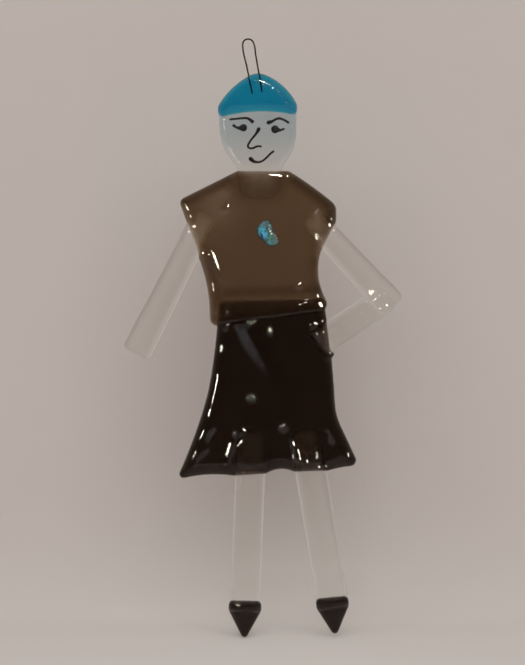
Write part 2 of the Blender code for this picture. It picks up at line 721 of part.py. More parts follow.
def main():
    """Build every piece of the figure."""
    clear_scene()

    def clear(name):
        return finish(name, (0.66, 0.64, 0.61), 0.05, transmission=0.9)

    def dark(name):
        return finish(name, (0.028, 0.018, 0.012), 0.06, transmission=0.3)

    def enamel(name):
        return finish(name, (0.012, 0.011, 0.012), 0.22)

    head = head_pane()
    cap = cap_pane(head)
    straight_arm = straight_arm_pane()
    forearm, upper_arm = bent_arm_panes()
    left = (LEFT_LEG_X, LEFT_LEG_TILT, LEFT_LEG_WIDTH, LEFT_LEG_SHOWN)
    right = (RIGHT_LEG_X, RIGHT_LEG_TILT, RIGHT_LEG_WIDTH, RIGHT_LEG_SHOWN)
    left_leg, right_leg = leg_pane("left_leg", *left), leg_pane("right_leg", *right)
    left_shoe, right_shoe = shoe_pane("left_shoe", *left), shoe_pane("right_shoe", *right)
    skirt = skirt_pane((left_leg, right_leg), forearm)
    bodice = bodice_pane((head, straight_arm, upper_arm, forearm, skirt))
    brooch = brooch_pane(bodice)

    for pane in (head, straight_arm, upper_arm, forearm, left_leg, right_leg):
        pane.build(clear(pane.name + "_clear_glass"))
    for pane in (skirt, left_shoe, right_shoe):
        pane.build(dark(pane.name + "_dark_bronze_glass"))
    bodice.build(finish("bodice_bronze_glass", (0.07, 0.041, 0.022), 0.06, transmission=0.5))
    brooch.build(finish("brooch_dichroic_glass", (0.045, 0.19, 0.36), 0.12, metallic=0.6))
    cap_item = cap.build(finish("cap_turquoise_glass", (0.008, 0.16, 0.27), 0.06, transmission=0.4))

    wire = finish("loop_oxidised_wire", (0.06, 0.045, 0.04), 0.4, metallic=0.9)
    add_object("hanging_loop", tube("hanging_loop", loop_path(), WIRE_RADIUS), wire)
    cut(cap_item, tube("wire_groove", loop_path(extra=FIT), WIRE_RADIUS + FIT))

    build_face(head.thickness + PAINT_GAP, enamel)


main()
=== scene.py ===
"""Looks of a kiln-fused glass lady: melted sheet glass, fired enamel, a dichroic chip and wire.

Every piece is drawn in millimetres as it lay on the kiln shelf: x to the right,
z up, and height off the shelf towards the viewer. Left and right are as seen
from the front.
"""

import logging
import math
from collections.abc import Callable
from dataclasses import dataclass, field
from enum import Enum

import bmesh
import bpy
import numpy as np
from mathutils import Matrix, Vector
from mathutils.bvhtree import BVHTree

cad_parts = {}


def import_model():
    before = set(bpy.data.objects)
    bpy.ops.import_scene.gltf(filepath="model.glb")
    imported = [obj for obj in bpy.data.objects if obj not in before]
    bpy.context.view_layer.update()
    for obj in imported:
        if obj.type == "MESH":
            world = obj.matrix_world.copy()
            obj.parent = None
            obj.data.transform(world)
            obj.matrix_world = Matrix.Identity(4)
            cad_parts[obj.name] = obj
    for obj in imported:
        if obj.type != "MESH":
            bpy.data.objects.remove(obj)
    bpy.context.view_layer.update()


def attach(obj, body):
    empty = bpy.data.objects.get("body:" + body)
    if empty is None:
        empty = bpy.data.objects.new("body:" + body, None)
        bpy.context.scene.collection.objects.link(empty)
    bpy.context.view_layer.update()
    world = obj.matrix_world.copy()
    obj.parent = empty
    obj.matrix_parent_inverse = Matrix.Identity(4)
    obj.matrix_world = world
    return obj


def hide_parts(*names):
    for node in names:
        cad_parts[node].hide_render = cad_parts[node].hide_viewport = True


LOG = logging.getLogger("glass_lady")

MM = 0.001
SHELF_Y = 3.6 * MM  # the flat back of the figure, as in the solids
FUSED = "fused"  # attribute of the glass: one where a piece is melted into another
SHADE = "shade"  # attribute of the glass: painted shade, one where its skin is painted dark as if in shade
WHITE = "#ffffff"
LET_THROUGH = (0.99, 0.99, 0.99, 1.0)  # share of lamp light that a pane's skin lets through

# how the kiln melts a pane, in mm unless a share is named
SMOOTHING = 0.5  # share of one smoothing pass
MELT_PASSES = 6  # passes over the cut blank
SETTLE_PASSES = 5  # passes once it has sunk
ROLL_STEPS = 5  # levels of the rounded front edge
ROLL_EVENING = 6  # passes that even out its width
ROLL_ROOM = 0.7  # share of the room in a tight bend that it may take
FRONT_POWER = 0.4  # how soon, off the shelf, a point moves along with the front
SLOPE_START = 0.4  # how far beside a buried part its soft slope starts
LENS_EDGE = 0.06  # share of the height that a buried edge keeps
BEAD_FADE = 3.0  # width over which the bead along the edge fades
FLAT_DEPTH = 0.6  # how far under a cover the shelf side is pressed flat
FLAT_HEIGHT = 0.8  # and up to which height
FLAT_FACING = 0.15  # and from which share of facing the shelf
WAVE_LENGTH = 11.0  # spacing of the slow unevenness
SEAM = 0.2  # surfaces nearer than this are melted into one
SEAM_FOOT = 0.06  # height below which a seam no longer shows
STRIP = 0.1  # half width of the seam along a covered edge
STRIP_HEIGHT = 1.0  # height up to which it runs
STRIP_INSET = 0.7  # how far inside the upper pane it starts
BACK_HEIGHT = 0.4  # what counts as the shelf side: up to this height
BACK_FACING = 0.75  # and from this share of facing the shelf
CUT_HEIGHT = 0.3  # what counts as a cutter's back: up to this height
CUT_FACING = 0.4  # and from this share of facing the shelf

# outlines and lines, in mm unless a share is named
CORNER_SHARE = 0.46  # share of a side that the corner at one end may take
POINT_GAP = 0.1  # points nearer than this are one
OUTLINE_STEP = 2.0  # spacing of points where distances are measured
OUTLINE_TURN = 12.0  # the same on corners, in degrees
LINE_ROUND = 4  # steps in a quarter of a line's section
WELD = 0.002  # points of a line nearer than this are merged

Spot = tuple[float, float]
Corner = tuple[float, float, float, float]
Outline = tuple[Corner, ...]
Colour = tuple[float, float, float, float]
Item = bpy.types.Object
Tree = bpy.types.NodeTree
Socket = bpy.types.NodeSocket
Sockets = bpy.types.bpy_prop_collection


class Slot(Enum):
    """The record's material slots."""

    CLEAR = "clear_glass"
    TURQUOISE = "turquoise_glass"
    BRONZE = "bronze_glass"
    DARK_BRONZE = "dark_bronze_glass"
    DICHROIC = "dichroic_glass"
    ENAMEL = "black_enamel"
    WIRE = "oxidised_wire"


class Cut(Enum):
    """How far what lies under a pane stands into it, in mm, so that no air shows between."""

    SNUG = 0.05
    WIRE = 0.02


class Side(Enum):
    """Sides of the figure, as seen from the front."""

    LEFT = "left"
    RIGHT = "right"


class Part(Enum):
    """What is selected of a mesh that is being edited."""

    POINTS = "verts"
    EDGES = "edges"


class Crease(Enum):
    """Angles in degrees up to which a surface is shaded as one."""

    GLASS = 50
    ENAMEL = 55
    WIRE = 60


# small tools


def linear(code: str) -> Colour:
    """Turn an sRGB hex colour into linear light.

    Args:
        code: colour such as "#b5aca5".

    Returns:
        Red, green, blue and alpha as Blender's sockets take them.
    """
    shares = [int(code[i : i + 2], 16) / 255 for i in (1, 3, 5)]
    red, green, blue = (
        share / 12.92 if share <= 0.04045 else ((share + 0.055) / 1.055) ** 2.4 for share in shares
    )
    return red, green, blue, 1.0


def only(item: Item) -> None:
    """Select one object alone and make it the active one.

    Args:
        item: the object.
    """
    bpy.ops.object.select_all(action="DESELECT")
    item.select_set(True)
    bpy.context.view_layer.objects.active = item


def apply_modifier(item: Item, kind: str, **settings: object) -> None:
    """Add a modifier, set it and apply it to the mesh.

    Args:
        item: mesh object to change.
        kind: Blender's name for the modifier's type.
        **settings: the modifier's properties.
    """
    step = item.modifiers.new(kind.lower(), kind)
    for name, value in settings.items():
        setattr(step, name, value)
    only(item)
    bpy.ops.object.modifier_apply(modifier=step.name)


def remove(item: Item) -> None:
    """Delete one object."""
    only(item)
    bpy.ops.object.delete()


def duplicate(item: Item) -> Item:
    """Copy one object together with its mesh.

    Args:
        item: the object.

    Returns:
        The copy.
    """
    only(item)
    bpy.ops.object.duplicate()
    return bpy.context.active_object


def coordinates(item: Item) -> np.ndarray:
    """Read where a mesh's points lie.

    Args:
        item: the mesh object.

    Returns:
        Rows of x, height off the shelf and z, in millimetres.
    """
    rows = np.empty(len(item.data.vertices) * 3)
    item.data.vertices.foreach_get("co", rows)
    rows = rows.reshape(-1, 3)
    return np.stack((rows[:, 0], SHELF_Y - rows[:, 1], rows[:, 2]), axis=1) / MM


def facing_back(item: Item) -> np.ndarray:
    """Read which way a mesh's points face.

    Args:
        item: the mesh object.

    Returns:
        How much each point faces the shelf, one for straight at it.
    """
    normals = np.empty(len(item.data.vertices) * 3)
    item.data.vertex_normals.foreach_get("vector", normals)
    return normals[1::3]


def place(rows: np.ndarray) -> np.ndarray:
    """Turn rows of x, height and z in millimetres into Blender's coordinates in metres."""
    return np.stack((rows[:, 0] * MM, SHELF_Y - rows[:, 1] * MM, rows[:, 2] * MM), axis=1)


def set_coordinates(item: Item, rows: np.ndarray) -> None:
    """Write rows of x, height and z in millimetres back to a mesh."""
    item.data.vertices.foreach_set("co", place(rows).ravel())
    item.data.update()


def pick(
    item: Item, points: Callable[[bmesh.types.BMVert], bool], kind: Part = Part.POINTS
) -> None:
    """Select parts of a mesh that is being edited.

    Args:
        item: the mesh object.
        points: test that every point of a part has to pass.
        kind: which parts.
    """
    bpy.ops.mesh.select_all(action="DESELECT")
    shape = bmesh.from_edit_mesh(item.data)
    for part in getattr(shape, kind.value):
        if all(points(vert) for vert in getattr(part, "verts", (part,))):
            part.select_set(True)
    shape.select_flush(True)
    bmesh.update_edit_mesh(item.data)


def smooth(item: Item, crease: Crease) -> None:
    """Shade an object smoothly up to its crease."""
    only(item)
    bpy.ops.object.shade_smooth_by_angle(angle=math.radians(crease.value))


def finish_piece(item: Item, material: bpy.types.Material, node: str) -> None:
    """Give a finished mesh its material and its place in the frame.

    Args:
        item: the piece's object.
        material: what it is made of.
        node: solid of the frame that the piece stands for.
    """
    item.name = node + "_piece"
    item.data.name = item.name
    item.data.materials.clear()
    item.data.materials.append(material)
    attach(item, "root")
    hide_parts(node)
    LOG.info("%s: %d faces, %s", item.name, len(item.data.polygons), material.name)


def add_node(
    tree: Tree, kind: str, inputs: dict[str | int, object] | None = None, **settings: object
) -> Sockets:
    """Add a shader node, set it up and link it.

    Args:
        tree: node tree that takes it.
        kind: the node's type, as Blender names it after ShaderNode.
        inputs: values for its sockets, or the output sockets that they are linked from.
        **settings: the node's own properties.

    Returns:
        The new node's outputs.
    """
    node = tree.nodes.new("ShaderNode" + kind)
    for name, value in settings.items():
        setattr(node, name, value)
    for name, value in (inputs or {}).items():
        if isinstance(value, Socket):
            tree.links.new(value, node.inputs[name])
        else:
            node.inputs[name].default_value = value
    return node.outputs


def soft_spot(
    tree: Tree, where: Socket, middle: object, scale: object, fade: Spot, values: Spot
) -> Socket:
    """Draw a soft round spot.

    Args:
        tree: node tree that takes it.
        where: coordinates.
        middle: the spot's middle.
        scale: what the way from the middle is multiplied by.
        fade: scaled distances where it begins and ends to fade.
        values: values inside and outside it.

    Returns:
        The value at each place.
    """
    off = add_node(tree, "VectorMath", {0: where, 1: middle}, operation="SUBTRACT")["Vector"]
    scaled = add_node(tree, "VectorMath", {0: off, 1: scale}, operation="MULTIPLY")["Vector"]
    far = add_node(tree, "VectorMath", {0: scaled}, operation="LENGTH")["Value"]
    return add_node(
        tree,
        "MapRange",
        {
            "Value": far,
            "From Min": fade[0],
            "From Max": fade[1],
            "To Min": values[0],
            "To Max": values[1],
        },
        interpolation_type="SMOOTHSTEP",
    )["Result"]


# finishes


@dataclass(frozen=True)
class Finish:
    """What a piece is made of.

    Attributes:
        name: material's name.
    """

    name: str

    def shade(self, tree: Tree) -> dict[str, Socket]:
        """Shaders of the surface and the depth, which each kind of finish has its own of."""
        raise NotImplementedError

    def material(self) -> bpy.types.Material:
        """Build the node material.

        Returns:
            The finished material.
        """
        material = bpy.data.materials.new(self.name)
        material.use_nodes = True
        material.node_tree.nodes.clear()
        add_node(material.node_tree, "OutputMaterial", self.shade(material.node_tree))
        return material


@dataclass(frozen=True)
class KilnGlass(Finish):
    """Transparent fusing glass, melted on a kiln shelf.

    The front is fire-polished, so it mirrors lamps as hard small glints, and it
    keeps a slow ripple and a few seed bubbles. The back has the fine grain of
    the shelf's release coat. The colour is in the depth of the glass, so thick
    rims look dark and places where it lies thinly over another piece look light.
    On top of that, painted shade darkens the skin where it is marked to look shaded.

    Attributes:
        through: colour of white light after one sheet of it.
        tint: colour of its thin skin.
        veil: second colour of the skin, in slow clouds.
        veil_span: heights z in mm where the veil starts and is full.
        ripple: depth of the front's ripple in mm.
        ripple_spacing: width of one ripple in mm.
        seed_spacing: mean distance between seed bubbles in mm.
        seed: radius of a seed bubble in mm.
        seed_depth: how far it lifts the skin, in mm.
        shelf_grain: size of the grain on the shelf side in mm, drawn coarse so that it shows.
        grain_depth: depth of that grain in mm.
        shelf_band: heights in mm between which the shelf side begins.
        cloud: size of the veil's clouds in mm.
        painted_shade_colour: colour of the skin where painted shade darkens it as if in shade.
        satin: how much duller than fire polish the front is.
        polish: least and greatest roughness of the fire-polished front.
        polish_patch: size in mm of its duller and glossier places.
        shelf_rough: roughness of the shelf side.
        sheet: thickness in mm that the colour is given for.
        index: how strongly it bends light.
        seam_index: how strongly it does where it is melted into its neighbour.
    """

    through: str
    tint: str
    veil: str
    veil_span: Spot = (-400.0, -300.0)
    ripple: float = 0.05
    ripple_spacing: float = 9.0
    seed_spacing: float = 7.0
    seed: float = 0.3
    seed_depth: float = 0.12
    shelf_grain: float = 0.7
    grain_depth: float = 0.1
    shelf_band: Spot = (0.3, 0.1)
    cloud: float = 11.0
    painted_shade_colour: str = WHITE
    satin: float = 0.0
    polish: Spot = (0.004, 0.024)
    polish_patch: float = 4.0
    shelf_rough: float = 0.16
    sheet: float = 3.0
    index: float = 1.5
    seam_index: float = 1.001

    def absorption(self) -> tuple[Colour, float]:
        """Work out the colour and density that leave the wanted light after one sheet.

        Returns:
            Colour and density for a volume absorption node.
        """
        shares = linear(self.through)[:3]
        loss = [-math.log(max(share, 1e-4)) / (self.sheet * MM) for share in shares]
        density = max(loss) * 1.04  # a little over the strongest loss, so no share is nothing
        red, green, blue = (1 - one / density for one in loss)
        return (red, green, blue, 1.0), density

    def skin(self, tree: Tree, where: Socket, level: Socket) -> Socket:
        """Colour the skin: two tints in slow clouds, and painted shade where it is marked.

        Args:
            tree: the material's nodes.
            where: place on the piece.
            level: its z.

        Returns:
            The colour.
        """
        low, high = self.veil_span
        rise = add_node(
            tree,
            "MapRange",
            {"Value": level, "From Min": low * MM, "From Max": high * MM},
            interpolation_type="SMOOTHSTEP",
        )["Result"]
        clouds = add_node(
            tree,
            "TexNoise",
            {"Vector": where, "Scale": 1 / (self.cloud * MM), "Detail": 3.0, "Distortion": 0.6},
        )["Fac"]
        cloudy = add_node(
            tree,
            "MapRange",
            {"Value": clouds, "From Min": 0.25, "From Max": 0.75, "To Min": 0.72, "To Max": 1.0},
        )["Result"]
        veiled = add_node(tree, "Math", {0: rise, 1: cloudy}, operation="MULTIPLY")["Value"]
        tinted = add_node(
            tree,
            "Mix",
            {"Factor": veiled, 6: linear(self.tint), 7: linear(self.veil)},
            data_type="RGBA",
        )[2]
        # painted shade: the skin is multiplied by the shade colour where the mesh is marked
        painted_shade = add_node(tree, "Attribute", attribute_type="GEOMETRY", attribute_name=SHADE)
        return add_node(
            tree,
            "Mix",
            {"Factor": painted_shade["Fac"], 6: tinted, 7: linear(self.painted_shade_colour)},
            data_type="RGBA",
            blend_type="MULTIPLY",
        )[2]

    def relief(self, tree: Tree, where: Socket, back: Socket) -> Socket:
        """Add the melt's ripple, then seed bubbles, then the shelf's grain on the back.

        Args:
            tree: the material's nodes.
            where: place on the piece.
            back: one on the shelf side.

        Returns:
            The surface's normal.
        """
        ripple = add_node(
            tree,
            "TexNoise",
            {"Vector": where, "Scale": 1 / (self.ripple_spacing * MM), "Detail": 1.0},
        )["Fac"]
        melted = add_node(
            tree, "Bump", {"Strength": 0.8, "Distance": self.ripple * MM, "Height": ripple}
        )["Normal"]
        cells = add_node(
            tree, "TexVoronoi", {"Vector": where, "Scale": 1 / (self.seed_spacing * MM)}
        )["Distance"]
        size = self.seed / self.seed_spacing
        seeds = add_node(
            tree,
            "MapRange",
            {"Value": cells, "From Min": 0.0, "From Max": size, "To Min": 1.0, "To Max": 0.0},
            interpolation_type="SMOOTHSTEP",
        )["Result"]
        lift = self.seed_depth * MM
        seeded = add_node(
            tree, "Bump", {"Strength": 0.7, "Distance": lift, "Height": seeds, "Normal": melted}
        )["Normal"]
        grain = add_node(
            tree,
            "TexNoise",
            {"Vector": where, "Scale": 1 / (self.shelf_grain * MM), "Detail": 4.0},
        )["Fac"]
        coat = add_node(tree, "Math", {0: grain, 1: back}, operation="MULTIPLY")["Value"]
        dent = self.grain_depth * MM
        return add_node(
            tree,
            "Bump",
            {"Strength": 0.35, "Distance": dent, "Height": coat, "Normal": seeded},
        )["Normal"]

    def shade(self, tree: Tree) -> dict[str, Socket]:
        """Build the shaders.

        Args:
            tree: the material's nodes.

        Returns:
            Surface and depth.
        """
        where = add_node(tree, "TexCoord")["Object"]
        split = add_node(tree, "SeparateXYZ", {"Vector": where})
        # the shelf side is told by its depth, and is matt where the front is polished
        high, low = (SHELF_Y - height * MM for height in self.shelf_band)
        back = add_node(
            tree, "MapRange", {"Value": split["Y"], "From Min": high, "From Max": low}
        )["Result"]
        patches = add_node(
            tree,
            "TexNoise",
            {"Vector": where, "Scale": 1 / (self.polish_patch * MM), "Detail": 2.0},
        )["Fac"]
        least, most = (rough + self.satin for rough in self.polish)
        polish = add_node(tree, "MapRange", {"Value": patches, "To Min": least, "To Max": most})
        rough = add_node(
            tree, "Mix", {"Factor": back, 2: polish["Result"], 3: self.shelf_rough}
        )[0]
        # two pieces that are melted into one have no skin between them to bend or mirror light
        fused = add_node(tree, "Attribute", attribute_type="GEOMETRY", attribute_name=FUSED)
        bend = add_node(
            tree,
            "MapRange",
            {"Value": fused["Fac"], "To Min": self.index, "To Max": self.seam_index},
        )["Result"]
        shader = add_node(
            tree,
            "BsdfPrincipled",
            {
                "Base Color": self.skin(tree, where, split["Z"]),
                "Roughness": rough,
                "Normal": self.relief(tree, where, back),
                "Transmission Weight": 1.0,
                "IOR": bend,
            },
        )["BSDF"]
        # lamps shine straight through, so the shadow has the depth's colour and stays soft
        lit = add_node(tree, "LightPath")["Is Shadow Ray"]
        passed = add_node(tree, "BsdfTransparent", {"Color": LET_THROUGH})["BSDF"]
        surface = add_node(tree, "MixShader", {0: lit, 1: shader, 2: passed})["Shader"]
        colour, density = self.absorption()
        depth = add_node(tree, "VolumeAbsorption", {"Color": colour, "Density": density})
        return {"Surface": surface, "Volume": depth["Volume"]}


@dataclass(frozen=True)
class Patch:
    """A soft patch of one colour.

    Attributes:
        x: middle.
        z: middle.
        radius: how far it fades, in mm.
        colour: sRGB hex colour.
    """

    x: float
    z: float
    radius: float
    colour: str


@dataclass(frozen=True)
class DichroicGlass(Finish):
    """Glass chip with a thin metal-oxide coat, fused face up.

    The coat mirrors one band of colour and shifts with its thickness, so the chip is
    teal in the middle, blue below and grey at its ends. It has broken into fine
    crinkles with dark gaps and lies under a glossy skin of clear glass. Its last
    patches are painted highlights: white glints along its right edge.

    Attributes:
        ground: colour between the patches.
        gap: colour of the glass where the coat has torn.
        patches: colours of the coat, the later ones over the earlier; the last five are painted
            highlights.
        crinkle: size of one crinkle in mm.
        drift: how far the crinkles push the patches' edges about, in mm.
        fade: shares of its radius where a patch begins and ends to fade.
        tear: how thick the coat is where it is torn and where it is whole.
        torn: share of it that is lost in a tear.
    """

    ground: str
    gap: str
    patches: tuple[Patch, ...]
    crinkle: float = 0.9
    drift: float = 1.4
    fade: Spot = (0.25, 1.25)
    tear: Spot = (0.36, 0.5)
    torn: float = 0.85

    def shade(self, tree: Tree) -> dict[str, Socket]:
        """Build the shaders.

        Args:
            tree: the material's nodes.

        Returns:
            The surface.
        """
        where = add_node(tree, "TexCoord")["Object"]
        noise = add_node(
            tree,
            "TexNoise",
            {"Vector": where, "Scale": 1 / (self.crinkle * MM), "Detail": 3.0, "Distortion": 0.5},
        )
        drift = (self.drift * MM, 0.0, self.drift * MM)
        spread = add_node(
            tree, "VectorMath", {0: noise["Color"], 1: drift, 2: where}, operation="MULTIPLY_ADD"
        )["Vector"]
        body: Colour | Socket = linear(self.ground)
        for patch in self.patches:
            # the noise averages one half, which the middle makes up for
            x, z = patch.x + self.drift / 2, patch.z + self.drift / 2
            fade = (self.fade[0] * patch.radius * MM, self.fade[1] * patch.radius * MM)
            middle, flat = (x * MM, 0.0, z * MM), (1.0, 0.0, 1.0)
            share = soft_spot(tree, spread, middle, flat, fade, (1.0, 0.0))
            body = add_node(
                tree, "Mix", {"Factor": share, 6: body, 7: linear(patch.colour)}, data_type="RGBA"
            )[2]
        thin, whole = self.tear
        torn = add_node(
            tree,
            "MapRange",
            {
                "Value": noise["Fac"],
                "From Min": thin,
                "From Max": whole,
                "To Min": self.torn,
                "To Max": 0.0,
            },
            interpolation_type="SMOOTHSTEP",
        )["Result"]
        coat = add_node(
            tree, "Mix", {"Factor": torn, 6: body, 7: linear(self.gap)}, data_type="RGBA"
        )[2]
        rough = add_node(
            tree, "MapRange", {"Value": noise["Fac"], "To Min": 0.2, "To Max": 0.45}
        )["Result"]
        crinkled = add_node(
            tree, "Bump", {"Strength": 0.6, "Distance": 0.25 * MM, "Height": noise["Fac"]}
        )["Normal"]
        shader = add_node(
            tree,
            "BsdfPrincipled",
            {
                "Base Color": coat,
                "Metallic": 0.3,
                "Roughness": rough,
                "Normal": crinkled,
                "Coat Weight": 0.7,
                "Coat Roughness": 0.02,
                "Coat IOR": 1.5,
            },
        )
        return {"Surface": shader["BSDF"]}


@dataclass(frozen=True)
class MottledSkin(Finish):
    """Opaque skin that a fine noise mottles in colour, gloss and height.

    Attributes:
        colour: first sRGB hex colour.
        other: second one.
        grain: size of the mottling in mm.
        detail: how many finer grains it carries.
        harsh: how strong those are.
        rough: least and greatest roughness.
        relief: strength and depth in mm of the uneven skin.
        shading: other values of the shader.
    """

    colour: str
    other: str
    grain: float
    detail: float
    harsh: float
    rough: Spot
    relief: Spot
    shading: tuple[tuple[str, float], ...]

    def shade(self, tree: Tree) -> dict[str, Socket]:
        """Build the shaders.

        Args:
            tree: the material's nodes.

        Returns:
            The surface.
        """
        noise = add_node(
            tree,
            "TexNoise",
            {
                "Vector": add_node(tree, "TexCoord")["Object"],
                "Scale": 1 / (self.grain * MM),
                "Detail": self.detail,
                "Roughness": self.harsh,
            },
        )["Fac"]
        colours = {6: linear(self.colour), 7: linear(self.other)}
        body = add_node(tree, "Mix", {"Factor": noise, **colours}, data_type="RGBA")[2]
        least, most = self.rough
        rough = add_node(tree, "MapRange", {"Value": noise, "To Min": least, "To Max": most})
        strength, depth = self.relief
        uneven = add_node(
            tree, "Bump", {"Strength": strength, "Distance": depth * MM, "Height": noise}
        )
        shader = add_node(
            tree,
            "BsdfPrincipled",
            {
                "Base Color": body,
                "Roughness": rough["Result"],
                "Normal": uneven["Normal"],
                **dict(self.shading),
            },
        )
        return {"Surface": shader["BSDF"]}


@dataclass(frozen=True)
class PaintedBoard(Finish):
    """Matt pale board of the studio's floor and back, seen from its painted side only.

    Attributes:
        colour: first sRGB hex colour.
        mottle: second one.
        cloud: size of the mottling in mm.
    """

    colour: str
    mottle: str
    cloud: float = 90.0

    def shade(self, tree: Tree) -> dict[str, Socket]:
        """Build the shaders.

        Args:
            tree: the material's nodes.

        Returns:
            The surface.
        """
        where = add_node(tree, "TexCoord")["Object"]
        noise = add_node(
            tree, "TexNoise", {"Vector": where, "Scale": 1 / (self.cloud * MM), "Detail": 2.0}
        )["Fac"]
        colours = {6: linear(self.colour), 7: linear(self.mottle)}
        body = add_node(tree, "Mix", {"Factor": noise, **colours}, data_type="RGBA")[2]
        paint = add_node(tree, "BsdfDiffuse", {"Color": body, "Roughness": 0.8})["BSDF"]
        unpainted = add_node(tree, "BsdfTransparent")["BSDF"]
        rear = add_node(tree, "NewGeometry")["Backfacing"]
        sided = add_node(tree, "MixShader", {0: rear, 1: paint, 2: unpainted})
        return {"Surface": sided["Shader"]}


# limbs: nearly colourless, so they show by their edges and glints alone
CLEAR_GLASS = KilnGlass("clear_fusing_glass", "#fefefd", WHITE, "#fefefd", satin=0.06)
# head: as clear, with a pale blue tint in its skin that is strongest at the brow
VEILED_GLASS = KilnGlass(
    name="clear_glass_with_pale_blue_veil",
    through="#fdfefd",
    tint="#f9f8f7",
    veil="#cbdfe9",
    veil_span=(-57.0, -33.0),
    ripple=0.03,
    satin=0.15,
)
# bodice: warm brown that lightens over the limbs and darkens along its edges, by its depth and by
# painted shade
BRONZE_GLASS = KilnGlass(
    name="bronze_transparent_glass",
    through="#806a53",
    tint=WHITE,
    veil="#f5efe8",
    veil_span=(-130.0, -60.0),
    # painted shade: skin colour on its shoulders, sides, waist and the neck's tab, painted dark as
    # if in shade
    painted_shade_colour="#bebcbb",
)
# skirt and shoes: nearly black, brown only where it is thin
DARK_BRONZE_GLASS = KilnGlass(
    name="dark_bronze_transparent_glass",
    through="#291e18",
    tint=WHITE,
    veil="#f1e8dd",
    veil_span=(-190.0, -120.0),
)
# cap: deep turquoise with a soft sheen
TURQUOISE_GLASS = KilnGlass(
    name="turquoise_transparent_glass",
    through="#1abfe8",
    tint=WHITE,
    veil="#e8f4f7",
    veil_span=(-20.0, -30.0),
    satin=0.14,
)
# brooch: a small bright spot of broken blue, teal and grey, with painted white highlights at its
# right edge
DICHROIC_CHIP = DichroicGlass(
    name="dichroic_coated_glass",
    ground="#194649",
    gap="#061415",
    patches=(
        Patch(6.6, -77.4, 2.2, "#4a6a76"),
        Patch(6.4, -80.2, 2.1, "#1490aa"),
        Patch(7.2, -82.0, 1.7, "#2a84bc"),
        Patch(6.1, -83.4, 1.1, "#10307c"),
        Patch(9.3, -82.9, 1.5, "#21705e"),
        Patch(9.8, -84.9, 1.5, "#3a7080"),
        Patch(11.9, -85.7, 1.4, "#4b5c58"),
        Patch(8.6, -79.2, 0.7, "#0b1f22"),
        Patch(10.7, -80.4, 0.9, "#091916"),
        Patch(12.2, -82.9, 0.9, "#091916"),
        Patch(9.5, -78.0, 0.8, "#6f98a0"),
        Patch(4.5, -82.9, 0.5, "#3c2b07"),
        # painted highlight: white glints along the chip's right edge
        Patch(9.1, -79.6, 0.45, "#e2efea"),
        Patch(9.7, -80.5, 0.45, "#e2efea"),
        Patch(10.3, -81.4, 0.45, "#e2efea"),
        Patch(11.8, -82.3, 0.4, "#efe6e0"),
        Patch(12.3, -83.2, 0.4, "#efe6e0"),
    ),
)
# face: glass enamel drawn with a pen and fired, a satin black with a fine uneven skin
BLACK_ENAMEL = MottledSkin(
    name="fired_black_enamel",
    colour="#100e0f",
    other="#221f20",
    grain=0.9,
    detail=4.0,
    harsh=0.5,
    rough=(0.3, 0.55),
    relief=(0.4, 0.05),
    shading=(("IOR", 1.5), ("Specular IOR Level", 0.12)),
)
# loop: nickel-chrome wire that the firing has browned, dull metal with darker scale
BROWNED_WIRE = MottledSkin(
    name="oxidised_nickel_chrome_wire",
    colour="#40342f",
    other="#1f1917",
    grain=1.4,
    detail=5.0,
    harsh=0.65,
    rough=(0.28, 0.62),
    relief=(0.3, 0.04),
    shading=(("Metallic", 0.85),),
)
# studio: warm pale grey that lights the clear glass from behind
STUDIO_BOARD = PaintedBoard(name="matt_pale_board", colour="#e3ddd9", mottle="#dfd9d5")


# outlines


def polygon(radii: float | tuple[float, ...], *spots: Spot) -> Outline:
    """Give spots the corner radius of all or of each, with straight sides between them."""
    each = radii if isinstance(radii, tuple) else (radii,) * len(spots)
    return tuple((x, z, radius, 0.0) for (x, z), radius in zip(spots, each))


def outline(corners: Outline, step: float, turn_step: float = 8.0) -> np.ndarray:
    """Draw a closed outline with round corners and bowed sides.

    Args:
        corners: rows of x, z, corner radius and how far the side to the next corner swells out.
        step: distance between points on a side, in mm.
        turn_step: turn between points on a corner, in degrees.

    Returns:
        Rows of x and z, counter-clockwise from the front.
    """
    count = len(corners)
    spots = [Vector(corner[:2]) for corner in corners]
    chords = [spots[(i + 1) % count] - spots[i] for i in range(count)]
    outs = [Vector((chord.y, -chord.x)).normalized() for chord in chords]
    bows = [corner[3] for corner in corners]

    def along(i: int, t: float) -> Vector:
        """Point on side i at share t of its length."""
        return spots[i] + chords[i] * t + outs[i] * (4 * bows[i] * t * (1 - t))

    turns: list[float] = []
    trims: list[float] = []
    for i in range(count):
        coming = chords[i - 1] - outs[i - 1] * (4 * bows[i - 1])
        going = chords[i] + outs[i] * (4 * bows[i])
        turn = coming.angle_signed(going)
        reach = corners[i][2] * math.tan(abs(turn) / 2)
        turns.append(turn)
        room = min(CORNER_SHARE * chords[i - 1].length, CORNER_SHARE * chords[i].length)
        trims.append(min(reach, room))
    points: list[Vector] = []
    for i in range(count):
        start = along(i - 1, 1 - trims[i] / chords[i - 1].length)
        end = along(i, trims[i] / chords[i].length)
        weight = math.cos(turns[i] / 2)
        pieces = max(2, round(math.degrees(abs(turns[i])) / turn_step))
        for k in range(pieces + 1):
            t = k / pieces
            shares = ((1 - t) ** 2, 2 * weight * t * (1 - t), t * t)
            blend = start * shares[0] + spots[i] * shares[1] + end * shares[2]
            points.append(blend / sum(shares))
        first = trims[i] / chords[i].length
        last = 1 - trims[(i + 1) % count] / chords[i].length
        pieces = max(1, round((last - first) * chords[i].length / step))
        for k in range(1, pieces):
            points.append(along(i, first + (last - first) * k / pieces))
    return np.array(
        [tuple(b) for a, b in zip([points[-1], *points], points) if (b - a).length > POINT_GAP]
    )


